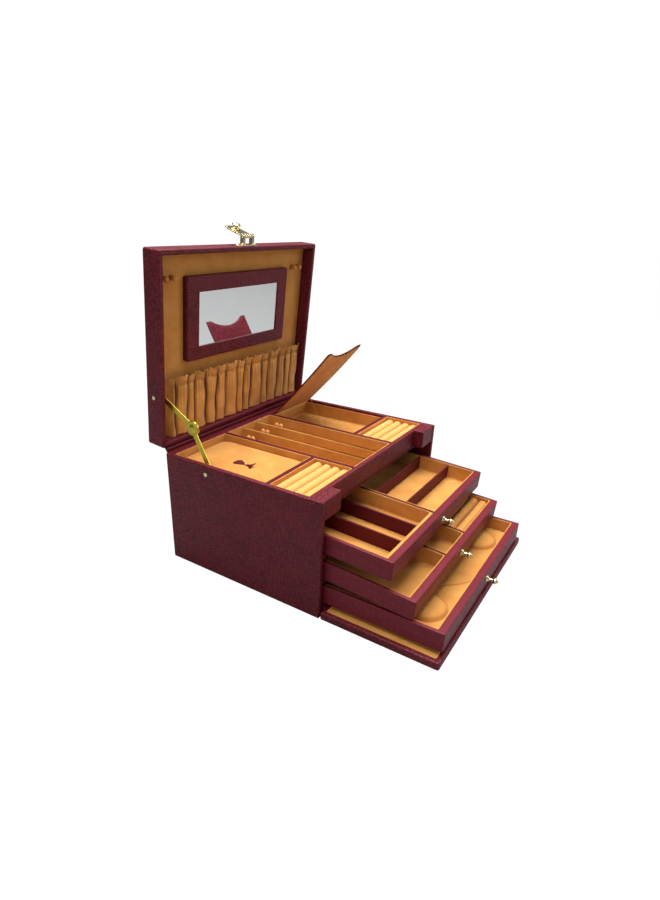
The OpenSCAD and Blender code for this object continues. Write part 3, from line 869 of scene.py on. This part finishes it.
class JEWEL_OT_ring_rolls(Operator):
    """Padded ring rolls in the tray and in the middle drawer"""
    bl_idname = "jewel.ring_rolls"
    bl_label = "Ring rolls"

    def execute(self, context):
        for node, body, count, place in (("ring_rolls_left", "case", 4, LEVEL),
                                         ("ring_rolls_right", "case", 4, LEVEL),
                                         ("drawer_2_ring_rolls", "drawer_2", 6, drawer_place(2))):
            low, high = place.box(node)
            pitch = (high[1] - low[1]) / count
            rolls = []
            for k in range(count):
                y = low[1] + pitch * k
                rolls.append(padded_roll((low[0], high[0]), (y, y + pitch), (low[2], high[2]),
                                         1.7 * k))
            suede = finish("cream_suede" if body == "case" else "tan_suede")
            made = piece(node + "_suede", rolls, suede, body, [node], place)
        return {"FINISHED"}


class JEWEL_OT_pad(Operator):
    """Lift-out suede pad with its leather bow"""
    bl_idname = "jewel.pad"
    bl_label = "Lift-out pad"

    def execute(self, context):
        low, high = LEVEL.box("pad_cover")
        bow = LEVEL.box("pad_bow")
        tie = (bow[0] + bow[1]) / 2
        line = outline(rectangle((low[0], high[0]), (low[1], high[1])),
                       np.array([2.5, 2.5, 13, 13]) * MM, 14)
        middle = (low + high)[:2] / 2
        waver = 0.5 * MM * np.sin(np.linspace(0, 2 * math.pi, len(line[0]), endpoint=False) * 11)
        t = np.linspace(0, math.pi / 2, 5)
        shoulder = 1.5 * MM
        climb = low[2] + (high[2] - low[2] - shoulder) * t / t[-1]
        side = rings(line, np.stack([1.6 * MM * (1 - np.sin(2 * t)), climb], 1))
        share = np.linspace(0, 0.985, 26)[1:, None, None]
        rim = side[-1][:, :2]
        flat = rim[None] * (1 - share) + middle * share
        rise = 1 - (1 - share[:, :, 0]) ** 3.2
        top = high[2] - shoulder + (shoulder + shapes().pad_crown) * rise
        reach = np.linalg.norm(flat - tie[:2], axis=2)
        angle = np.arctan2(flat[..., 1] - tie[1], flat[..., 0] - tie[0])
        dip = 2.6 * MM * np.exp(-(reach / (7 * MM)) ** 2)
        rays = 0.55 * MM * np.sin(7 * angle + 0.6) * np.exp(-((reach - 16 * MM) / (15 * MM)) ** 2)
        folds = 0.4 * MM * np.sin(flat[..., 0] * 95 + flat[..., 1] * 60) * rise
        height = top - dip + rays * np.minimum(1, rise * 1.5) + folds \
            + waver[None] * (1 - rise) * 0.5
        grid = np.concatenate([side, np.concatenate([flat, height[..., None]], 2)])
        pad = piece("pad_suede", [loft(grid)], finish("tan_suede"), "pad",
                    ["pad_cover"])

        surface = high[2] + shapes().pad_crown - 1.2 * MM
        wings = []
        u = np.linspace(0, 1, 14)[:, None]
        v = np.linspace(-1, 1, 9)[None, :]
        for turn_deg, size, tilt in ((80, 1.18, 0.30), (-92, 0.85, 0.75)):
            turn = math.radians(turn_deg)
            run = (1.0 + 11.0 * size * u) * MM
            width = (1.5 + 4.3 * u ** 0.8 * size) * MM
            out = run + 0.0 * v
            side_way = v * width
            lift = (0.9 + 1.0 * np.cos(v * math.pi) * (1 - 0.5 * u) + 2.4 * tilt * u * (1 + v)) * MM
            x = tie[0] + out * math.cos(turn) - side_way * math.sin(turn)
            y = tie[1] + out * math.sin(turn) + side_way * math.cos(turn)
            front = np.stack([x, y, surface + lift + 0.5 * MM], -1)
            wings.append(shell_of(front, front - (0, 0, 0.7 * MM)))
        piece("bow_wings", wings, finish("burgundy_plain"), "pad", ["pad_bow"])
        knot = lathe([(0, -1.4 * MM), (1.5 * MM, -1.4 * MM), (1.9 * MM, -0.5 * MM), (1.7 * MM, 0),
                      (1.9 * MM, 0.5 * MM), (1.5 * MM, 1.4 * MM), (0, 1.4 * MM)],
                     (tie[0], tie[1], surface + 1.6 * MM),
                     (math.cos(math.radians(-8)), math.sin(math.radians(-8)), 0), 14)
        piece("bow_knot", [knot], finish("thread"), "pad")
        return {"FINISHED"}


class JEWEL_OT_flap(Operator):
    """Curved flap over the right-hand cell, leather outside and suede beneath"""
    bl_idname = "jewel.flap"
    bl_label = "Flap"

    def execute(self, context):
        low, high = FLAP.box("flap_board")
        middle, length = (low[0] + high[0]) / 2, high[1] - low[1]
        curl = shapes().flap_curl

        def skin(inset, z_low, z_high, edge):
            """x across, v along: y = back - v * (length - hollow(x)); the end curls by curl *
            v**2.2."""
            half = (high[0] - low[0]) / 2 - inset
            s = np.linspace(-1, 1, 61)[:, None]
            v = np.linspace(0, 1, 31)[None, :]
            x = middle + half * s + 0 * v
            hollow = np.sqrt(np.maximum((58 * MM + inset) ** 2 - (x - middle) ** 2, 0)) - 48 * MM
            reach = length - inset - np.maximum(hollow - inset, 0)
            y = high[1] - (v * reach + inset * (1 - v))
            rise = curl * np.clip((high[1] - y) / length, 0, 1) ** 2.2
            rim = np.minimum(np.minimum(1 + s, 1 - s) * half, v * (1 - v) * length * 2)
            soft = edge * (1 - np.clip(rim / edge, 0, 1)) ** 2 * 0.5
            upper = np.stack([x, y, z_high + rise - soft], -1)
            lower = np.stack([x, y, z_low + rise + soft], -1)
            return shell_of(upper, lower)

        piece("flap_leather", [skin(0, low[2], high[2], 0.8 * MM)], finish("burgundy_leather"),
              "flap", ["flap_board"], FLAP)
        l_low = FLAP.box("flap_lining")[0]
        piece("flap_suede", [skin(1.2 * MM, l_low[2], low[2] + 0.1 * MM, 0.5 * MM)],
              finish("tan_suede"), "flap", ["flap_lining"], FLAP)
        return {"FINISHED"}


def shut_lid(points):
    """(x, from the hinged edge, from the rim) of the closed lid as a point in the case's frame."""
    low = LID.box("lid_sides")[0]
    back = LID.box("lid_back_rail")[1][1]
    return np.stack([points[..., 0], back - points[..., 1], low[2] + points[..., 2]], -1)


class JEWEL_OT_lid(Operator):
    """Lid shell, its suede panel and the earring pegs"""
    bl_idname = "jewel.lid"
    bl_label = "Lid"

    def execute(self, context):
        low, high = LID.box("lid_top_board", "lid_sides")
        in_x = LID.box("lid_front_rail")[1][0]
        in_low = LID.box("lid_front_rail")[1][1]
        in_high = LID.box("lid_back_rail")[0][1]
        lining = LID.box("lid_lining")
        points, faces = tray(low, high, (-in_x, in_low), (in_x, in_high),
                             low[2] + high[2] - lining[1][2], 1.4 * MM, corner=2.6 * MM)
        points = points * (1, 1, -1) + (0, 0, low[2] + high[2])
        piece("lid_shell", [(points, faces)], finish("burgundy_leather"), "lid",
              ["lid_top_board", "lid_sides", "lid_front_rail", "lid_back_rail"], LID)
        piece("lid_suede", [board(lining[0], lining[1], 0.4 * MM)], finish("tan_suede"), "lid",
              ["lid_lining"], LID)

        low, high = LID.box("lid_pegs")
        tall, radius = high[2] - low[2], 3.2 * MM
        profile = np.concatenate([[(radius * 0.95, 0), (radius * 0.8, tall * 0.4),
                                   (radius * 0.78, tall * 0.55)],
                                   dome(radius, tall * 0.3, tall * 0.7)])
        pegs = []
        apart = 11.3 * MM
        for x in (low[0] + radius, low[0] + radius + apart,
                  high[0] - radius - apart, high[0] - radius):
            pegs.append(lathe(profile, (x, low[1] + radius, high[2]), (0, 0, -1), 16))
        piece("earring_pegs", pegs, finish("tan_suede"), "lid", ["lid_pegs"], LID)
        return {"FINISHED"}


class JEWEL_OT_mirror(Operator):
    """Padded leather frame and the mirror"""
    bl_idname = "jewel.mirror"
    bl_label = "Mirror"

    def execute(self, context):
        low, high = LID.box("mirror_frame")
        glass = LID.box("mirror_glass")
        edge, lip = 2.0 * MM, 0.7 * MM
        outer = outline(rectangle((low[0], high[0]), (low[1], high[1])), 2.2 * MM)
        inner = outline(rectangle((glass[0][0] + 2 * MM, glass[1][0] - 2 * MM),
                                  (glass[0][1] + 2 * MM, glass[1][1] - 2 * MM)), 0.7 * MM)
        over = turn_over(edge, high[2])
        grid = np.concatenate([
            rings(outer, [(0.3 * MM, low[2] + 0.01 * MM)]), rings(outer, over),
            rings(inner, turn_over(lip, high[2])[::-1] * (-1, 1)),
            rings(inner, [(0, low[2] + high[2] - glass[0][2] + 0.05 * MM),
                          (-1.5 * MM, low[2] + 0.01 * MM)])])
        grid[..., 2] = low[2] + high[2] - grid[..., 2]
        piece("mirror_frame_leather", [loft(grid, wrap=True)], finish("burgundy_leather"), "lid",
              ["mirror_frame"], LID)
        refinish("mirror_glass", finish("mirror"))
        return {"FINISHED"}


class JEWEL_OT_pocket(Operator):
    """Gathered cloth pocket across the foot of the lid"""
    bl_idname = "jewel.pocket"
    bl_label = "Gathered pocket"

    def execute(self, context):
        low, high = LID.box("lid_pocket")
        back = LID.box("lid_back_rail")[1][1]
        rim = LID.box("lid_sides")[0][2]
        x0, x1 = low[0] - 10.5 * MM, high[0] + 1.5 * MM
        s0, s1 = back - high[1], back - low[1]
        count, depth = shapes().pleats, shapes().pleat_depth
        face = low[2] - rim - 1.6 * MM
        u = np.linspace(0, 1, 560)[None, :]
        v = np.linspace(0, 1, 64)[:, None]
        k = np.arange(count + 1)
        shove = 0.20 * np.sin(k * 2.3 + 0.7) + 0.13 * np.sin(k * 5.1)
        shove[0] = shove[-1] = 0
        lean = 0.16 * np.sin(k * 1.9 + 1.1)
        lean[0] = lean[-1] = 0
        place = u * count
        moved = place + np.interp(place, k, shove) + (v - 0.5) * np.interp(place, k, lean) \
            + 0.05 * np.sin(v * 9 + np.interp(place, k, 3 * np.cos(k * 2.0)))
        inside = moved - np.floor(moved)
        which = np.floor(moved)
        puff = np.abs(np.sin(math.pi * inside)) ** (0.38 + 0.08 * np.sin(which * 3.3))
        swell = 0.62 + 0.38 * np.sin(math.pi * np.clip(v * 1.02, 0, 1)) ** 0.6
        lean_in = 0.25 * np.sin(2 * math.pi * inside + which)
        hem = np.clip((v - 0.86) / 0.14, 0, 1)
        band = np.exp(-((v - 0.86) / 0.035) ** 2)
        frill = np.sin(2 * math.pi * (u * count * 2.9 + 0.35 * np.sin(u * 60))) \
            + 0.6 * np.sin(2 * math.pi * (u * count * 4.7 + 0.3))
        small = np.sin(2 * math.pi * (u * count * 2.9 + 0.35 * np.sin(u * 60) + 0.5 * v)) \
            * np.clip((v - 0.3) / 0.5, 0, 1)
        main = (1 - puff) * depth * swell * (0.9 + 0.2 * np.sin(which * 4.7)) + lean_in * 0.5 * MM
        n = face + main * (1 - 0.6 * band) * (1 - 0.45 * hem) + band * 1.4 * MM \
            + frill * 0.8 * MM * hem + 0.35 * MM * small * (1 - hem)
        top_wave = (0.9 * np.sin(2 * math.pi * u * count + 0.6) + 0.9 * np.sin(u * 71)
                    + 0.5 * frill) * MM
        foot_wave = 0.6 * MM * np.sin(2 * math.pi * moved[0])[None, :]
        s = s0 + (s1 - s0) * v + top_wave * v ** 3 + foot_wave * (1 - v) ** 3 - 0.5 * MM
        x = x0 + (x1 - x0) * u + 0.8 * MM * np.cos(2 * math.pi * inside) * (puff < 0.8) * 0.4
        shallow = np.clip((x - (low[0] - 1 * MM)) / (6 * MM), 0, 1)
        n = np.minimum(n * shallow + (1 - shallow) * np.maximum(n, 14.4 * MM), 15.4 * MM)
        grid = np.stack([x + 0 * v, s, n], -1)
        front = shut_lid(grid)
        # Painted shade: how dark the cloth is painted in the hollows between the puffs, in the
        # hem's band and frill, and in the small ripples
        crease = np.clip((1 - puff) * 1.9 - 0.18, 0, 1) * (0.6 + 0.4 * np.sin(math.pi * v) ** 0.5)
        crease = crease * (1 - 0.5 * hem) + 0.5 * band * np.clip(-frill, 0, 1) \
            + 0.3 * np.clip(-small, 0, 1) * (1 - hem) + 0.25 * np.clip(-frill, 0, 1) * hem
        pocket = piece("pocket_cloth", [shell_of(front, front + (0, 0, 0.45 * MM))],
                       finish("gathered_cloth"), "lid", ["lid_pocket"], LID,
                       np.tile(crease.reshape(-1), 2))
        return {"FINISHED"}


class JEWEL_OT_clasp(Operator):
    """Clasp on the lid's front edge: plate, posts, pin, raised arm and its round catch"""
    bl_idname = "jewel.clasp"
    bl_label = "Clasp"

    def execute(self, context):
        brass = finish("brass")
        for node in ("clasp_keeper", "stay_rivet_case", "stay_rivet_lid"):
            refinish(node, brass)
        low, high = LID.box("clasp_plate")
        pin = LID.box("clasp_pin")
        at = (pin[0] + pin[1]) / 2
        rivet = LID.box("clasp_rivets")
        plate_y = high[1] - 1.2 * MM
        base_z = (low[2] + 0.9 * MM, high[2])
        parts = [along_y(rectangle((low[0], high[0]), base_z), 2.4 * MM, plate_y, high[1],
                         0.35 * MM)]
        post = [(low[1], at[2] - 2.4 * MM), (plate_y + 0.2 * MM, at[2] - 2.4 * MM),
                (plate_y + 0.2 * MM, at[2] + 2.4 * MM), (low[1], at[2] + 2.4 * MM)]
        for x in (-10 * MM, 6 * MM):
            parts.append(along_x(post, (2.35 * MM, 0.3 * MM, 0.3 * MM, 2.35 * MM), x, x + 4 * MM,
                                 0.3 * MM))
            parts.append(along_y(rectangle((x - 1.2 * MM, x + 5.2 * MM),
                                           (at[2] - 3.2 * MM, at[2] + 3.2 * MM)), 1.2 * MM,
                                 plate_y - 0.9 * MM, plate_y + 0.1 * MM, 0.3 * MM))
        piece("clasp_plate_brass", parts, brass, "lid", ["clasp_plate"], LID)
        ends = np.array([(0, 0), (0.9, 0.1), (1.5, 0.5), (1.5, 0.9), (1.0, 1.0), (1.0, 20.2),
                         (1.5, 20.3), (1.5, 20.7), (0.9, 21.1), (0, 21.2)]) * MM
        piece("clasp_pin_brass", [lathe(ends, (-10.6 * MM, at[1], at[2]), (1, 0, 0), 16)], brass,
              "lid", ["clasp_pin"], LID)
        heads = []
        for x in (-15 * MM, 15 * MM):
            heads.append(lathe(np.concatenate([[(2.4 * MM, 0)], dome(2.4 * MM, 1.5 * MM)]),
                               (x, rivet[1][1], (rivet[0][2] + rivet[1][2]) / 2), (0, -1, 0), 20))
        piece("clasp_rivet_heads", heads, brass, "lid", ["clasp_rivets"], LID)

        turned = LID_ANGLE + JOINTS["clasp_hinge"]["range_deg"][1]
        hanging = joint_place("clasp_hinge", -turned)
        low, high = hanging.box("clasp_arm")
        pin = hanging.pivot
        half = 10 * MM
        leaf = (pin[1] - 0.7 * MM, pin[1] + 0.7 * MM, 0.3 * MM)
        blade = along_y(rectangle((-half, half), (low[2] + 5 * MM, pin[2] - 3.6 * MM)),
                        1.6 * MM, *leaf)
        tip = along_y(rectangle((3 * MM - half, half - 3 * MM), (low[2], low[2] + 7 * MM)),
                      2.6 * MM, *leaf)
        neck = along_y(rectangle((-5.6 * MM, 5.6 * MM), (pin[2] - 5 * MM, pin[2])),
                       0.4 * MM, *leaf)
        barrel = np.array([(1.1, 0), (2.1, 0), (2.4, 0.3), (2.4, 3.4), (2.15, 3.6), (2.15, 3.9),
                           (2.4, 4.1), (2.4, 7.3), (2.15, 7.5), (2.15, 7.8), (2.4, 8.0),
                           (2.4, 11.1), (2.1, 11.4), (1.1, 11.4)]) * MM
        piece("clasp_arm_brass", [blade, tip, neck,
                                  lathe(barrel, (-5.7 * MM, pin[1], pin[2]), (1, 0, 0), 20)],
              brass, "clasp", ["clasp_arm"], hanging)
        low, high = hanging.box("clasp_catch")
        drum = np.array([(0, 0), (5.0, 0), (5.0, 1.2), (4.6, 1.5), (3.9, 2.0), (3.9, 3.6),
                         (4.4, 4.0), (5.0, 4.3), (5.0, 5.3), (4.7, 5.6), (3.9, 5.9), (3.4, 6.7),
                         (2.2, 6.95), (0, 7.0)]) * MM
        piece("clasp_catch_brass",
              [lathe(drum, (0, low[1], (low[2] + high[2]) / 2), (0, 1, 0), 30)],
              brass, "clasp", ["clasp_catch"], hanging)
        return {"FINISHED"}


class JEWEL_OT_stay(Operator):
    """Folding lid stay: two flat bars with pressed ribs, and the middle disc"""
    bl_idname = "jewel.stay"
    bl_label = "Lid stay"

    def execute(self, context):
        metal = finish("stay_brass")
        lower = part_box("stay_lower_arm")
        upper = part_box("stay_upper_arm")
        case_at = np.array(JOINTS["stay_lower_pivot"]["pos_m"][1:])
        lid_at = np.array(JOINTS["stay_upper_pivot"]["pos_m"][1:])
        disc = 8.5 * MM
        middle = np.array([lower[1][1] - disc, lower[1][2] - disc])
        for node in ("stay_lower_arm", "stay_upper_arm"):
            refinish(node, metal)
        for name, body, start, face, way in (
                ("stay_lower_rib", "stay_lower", case_at, lower[0][0], -1),
                ("stay_upper_rib", "stay_upper", lid_at, upper[0][0] + MM, 1)):
            run = middle - start
            length = float(np.hypot(*run))
            along, across = run / length, np.array([-run[1], run[0]]) / length
            t = np.linspace(0, 1, 24)[:, None]
            a = np.linspace(0, math.pi, 9)[None, :]
            width = 1.1 * MM * np.sin(math.pi * np.clip(t, 0.02, 0.98)) ** 0.35
            spot = (start + along * 6 * MM)[None, None] \
                + (t[..., None] * (length - 17 * MM)) * along \
                + (np.cos(a) * width)[..., None] * across
            x = face + way * 0.45 * MM * np.sin(a) * (width / (1.1 * MM)) + 0 * t
            grid = np.concatenate([x[..., None], spot], -1)
            piece(name, [loft(grid)], metal, body)
        rings_profile = np.array([(0, 0.0), (7.6, 0.0), (8.0, 0.25), (7.4, 0.55), (6.2, 0.45),
                                  (5.6, 0.2), (4.6, 0.25), (3.4, 0.75), (2.6, 1.3), (1.2, 1.5),
                                  (0, 1.55)]) * MM
        face = upper[1][0] - 0.8 * MM
        piece("stay_boss", [lathe(rings_profile, (face, *middle), (1, 0, 0), 36)], metal,
              "stay_upper")
        piece("stay_boss_back",
              [lathe(rings_profile * (1, 0.8), (lower[0][0], *middle), (-1, 0, 0), 36)],
              metal, "stay_lower")
        return {"FINISHED"}


class JEWEL_OT_drawers(Operator):
    """Three drawers: leather boxes, suede linings, dividers and turned knobs"""
    bl_idname = "jewel.drawers"
    bl_label = "Drawers"
    cells = {1: ((None, -12.4, 3.2), (-8.6, None, 1.2)),
             2: ((None, -33.9, 1.2), (-30.1, 24.1, 1.2), (27.9, None, 1.2)),
             3: ((None, None, 1.2),)}

    def execute(self, context):
        edge, wall = shapes().leather_edge, 1.2 * MM
        plain, suede = finish("burgundy_plain"), finish("tan_suede")
        for number in (1, 2, 3):
            place, body = drawer_place(number), f"drawer_{number}"
            low, high = place.box(f"{body}_front", f"{body}_box")
            l_low, l_high = place.box(f"{body}_lining")
            piece(f"{body}_leather",
                  [tray(low, high, l_low, l_high, l_low[2], edge, corner=1.6 * MM,
                                           cove=0.3 * MM)],
                  finish("burgundy_drawer"), body,
                  [f"{body}_front", f"{body}_box"], place)
            linings = []
            for x0, x1, front in self.cells[number]:
                x0 = l_low[0] if x0 is None else x0 * MM
                x1 = l_high[0] if x1 is None else x1 * MM
                linings.append(tray((x0, l_low[1], l_low[2]), (x1, l_high[1], l_high[2]),
                                    (x0 + wall, l_low[1] + front * MM),
                                    (x1 - wall, l_high[1] - wall),
                                    l_low[2] + wall, 0.5 * MM, corner=0.8 * MM))
            piece(f"{body}_suede", linings, suede, body, [f"{body}_lining"], place)
            k_low, k_high = place.box(f"{body}_knob")
            foot = (0, k_high[1], (k_low[2] + k_high[2]) / 2)
            reach = k_high[1] - k_low[1]
            profile = [(0, 0), (3.8, 0), (4.0, 0.4), (3.6, 0.9), (2.9, 1.3), (2.2, 2.2), (1.6, 3.4),
                       (1.5, 5.6), (1.9, 6.0), (1.9, 6.5), (1.5, 6.9)]
            ball = np.linspace(-1.1, math.pi / 2, 10)
            knob = np.concatenate([np.array(profile) * MM, np.stack(
                [3.3 * MM * np.cos(ball), reach - 3.3 * MM + 3.3 * MM * np.sin(ball)], 1)])
            piece(f"{body}_knob_brass", [lathe(knob, foot, (0, -1, 0), 32)], finish("brass"), body,
                  [f"{body}_knob"], place)
            if number == 3:
                continue
            d_low, d_high = place.box(f"{body}_dividers")
            half, half_wide, long_way = 1.3 * MM, 2 * MM, (d_low[1], d_high[1])
            bars = []

            def divider(x, y, top=d_high[2] - 1.3 * MM, corner=0.8 * MM):
                bars.append(board((x[0], y[0], d_low[2]), (x[1], y[1], top), corner))

            if number == 1:
                wall_x = (-12.5 * MM, -8.5 * MM)
                divider(wall_x, long_way, d_high[2], edge)
                for x in (-86 * MM, -48 * MM):
                    divider((x - half, x + half), long_way)
                for y in (42 * MM, 81.5 * MM, 121 * MM):
                    y += low[1]
                    divider((wall_x[1] - MM, d_high[0]), (y - half, y + half))
            else:
                for x in (-32 * MM, 26 * MM):
                    divider((x - half_wide, x + half_wide), long_way, d_high[2], edge)
                y = place.box("drawer_2_ring_rolls")[1][1] + 1.6 * MM
                divider((27.5 * MM, d_high[0]), (y - half, y + half))
            piece(f"{body}_dividers_leather", bars, plain, body,
                  [f"{body}_dividers"], place)
        return {"FINISHED"}


class JEWEL_OT_necklace_pad(Operator):
    """Moulded necklace pad in the bottom drawer"""
    bl_idname = "jewel.necklace_pad"
    bl_label = "Necklace pad"

    def execute(self, context):
        place = drawer_place(3)
        low, high = place.box("drawer_3_necklace_pad")
        face = place.box("drawer_3_front")[0][1]
        x = np.linspace(low[0] + 0.2 * MM, high[0] - 0.2 * MM, 230)[:, None]
        y = np.linspace(low[1] + 0.2 * MM, high[1] - 0.2 * MM, 150)[None, :]
        local = (y - face) / MM
        ax = np.abs(x) / MM
        arm = np.hypot(ax - 82, np.minimum(local - 37, 0) + np.maximum(local - 78, 0)) - 22
        bend = np.where(local > 78, np.abs(np.hypot(ax, local - 78) - 82) - 22, 1e3)
        distance = np.minimum(arm, bend)
        inward = np.clip(-distance / 15, 0, 1)
        raised = 6.4 * np.sqrt(1 - (1 - inward) ** 2)
        groove = 1.2 * np.exp(-((distance - 0.5) / 1.1) ** 2)
        floor = low[2] + 4 * MM
        seam = x / MM + 6 + 1.3 * (local - 12) + 2.2 * np.sin((local - 12) / 5.5)
        slit = 1.6 * np.exp(-(seam / 1.5) ** 2) / (1 + np.exp(np.clip((local - 46) * 2, -40, 40)))
        # Painted shade: how dark the suede is painted in the groove round the lobes and in the
        # seam's slit
        crease = 0.35 * groove / 1.2 + 0.62 * slit / 1.6
        z = floor + (raised - groove - slit) * MM + 0.25 * MM * np.sin(x * 70) * np.cos(y * 60)
        border = np.minimum(np.minimum(x - x[0], x[-1] - x), np.minimum(y - y[0, 0], y[0, -1] - y))
        z = z - 1.6 * MM * np.exp(-border / (1.6 * MM))
        upper = np.stack([x + 0 * y, y + 0 * x, z], -1)
        lower = np.stack([x + 0 * y, y + 0 * x, low[2] + 0 * z], -1)
        pad = piece("necklace_pad_suede", [shell_of(upper, lower)], finish("tan_suede"), "drawer_3",
                    ["drawer_3_necklace_pad"], place, np.tile(crease.reshape(-1), 2))
        return {"FINISHED"}


class JEWEL_OT_front_panel(Operator):
    """Fold-down front panel with its suede face and leather hinge"""
    bl_idname = "jewel.front_panel"
    bl_label = "Front panel"

    def execute(self, context):
        low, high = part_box("front_panel")
        piece("front_panel_leather", [board(low, high, 1.6 * MM, 2.5 * MM)],
              finish("burgundy_leather"),
              "panel", ["front_panel"])
        low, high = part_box("front_panel_lining")
        piece("front_panel_suede", [board(low, high, 0.35 * MM, 1.5 * MM)], finish("tan_suede"),
              "panel", ["front_panel_lining"])
        refinish("panel_hinge_leather", finish("burgundy_plain"))
        return {"FINISHED"}


class JEWEL_PT_case(Panel):
    bl_idname = "JEWEL_PT_case"
    bl_label = "Jewellery Case"
    bl_space_type = "VIEW_3D"
    bl_region_type = "UI"
    bl_category = "Jewellery Case"

    def draw(self, context):
        for group in (context.scene.jewel_finishes, context.scene.jewel_shapes,
                      context.scene.jewel_stage):
            box = self.layout.box()
            for name in group.__annotations__:
                box.prop(group, name)
        for operator in OPERATORS:
            self.layout.operator(operator.bl_idname)


GROUPS = {"jewel_finishes": CaseFinishes, "jewel_shapes": CaseShapes, "jewel_stage": CaseStage}
OPERATORS = (
    JEWEL_OT_stage, JEWEL_OT_flap_thread, JEWEL_OT_shell, JEWEL_OT_tray, JEWEL_OT_ring_rolls,
    JEWEL_OT_pad, JEWEL_OT_flap, JEWEL_OT_lid, JEWEL_OT_mirror, JEWEL_OT_pocket, JEWEL_OT_clasp,
    JEWEL_OT_stay, JEWEL_OT_drawers, JEWEL_OT_necklace_pad, JEWEL_OT_front_panel,
)


def register():
    for cls in (*GROUPS.values(), *OPERATORS, JEWEL_PT_case):
        bpy.utils.register_class(cls)
    for name, group in GROUPS.items():
        setattr(bpy.types.Scene, name, PointerProperty(type=group))


def unregister():
    for name in GROUPS:
        delattr(bpy.types.Scene, name)
    for cls in (JEWEL_PT_case, *reversed(OPERATORS), *GROUPS.values()):
        bpy.utils.unregister_class(cls)


def main():
    register()
    for operator in OPERATORS:
        group, name = operator.bl_idname.split(".")
        getattr(getattr(bpy.ops, group), name)()
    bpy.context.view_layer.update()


if __name__ == "__main__":
    main()
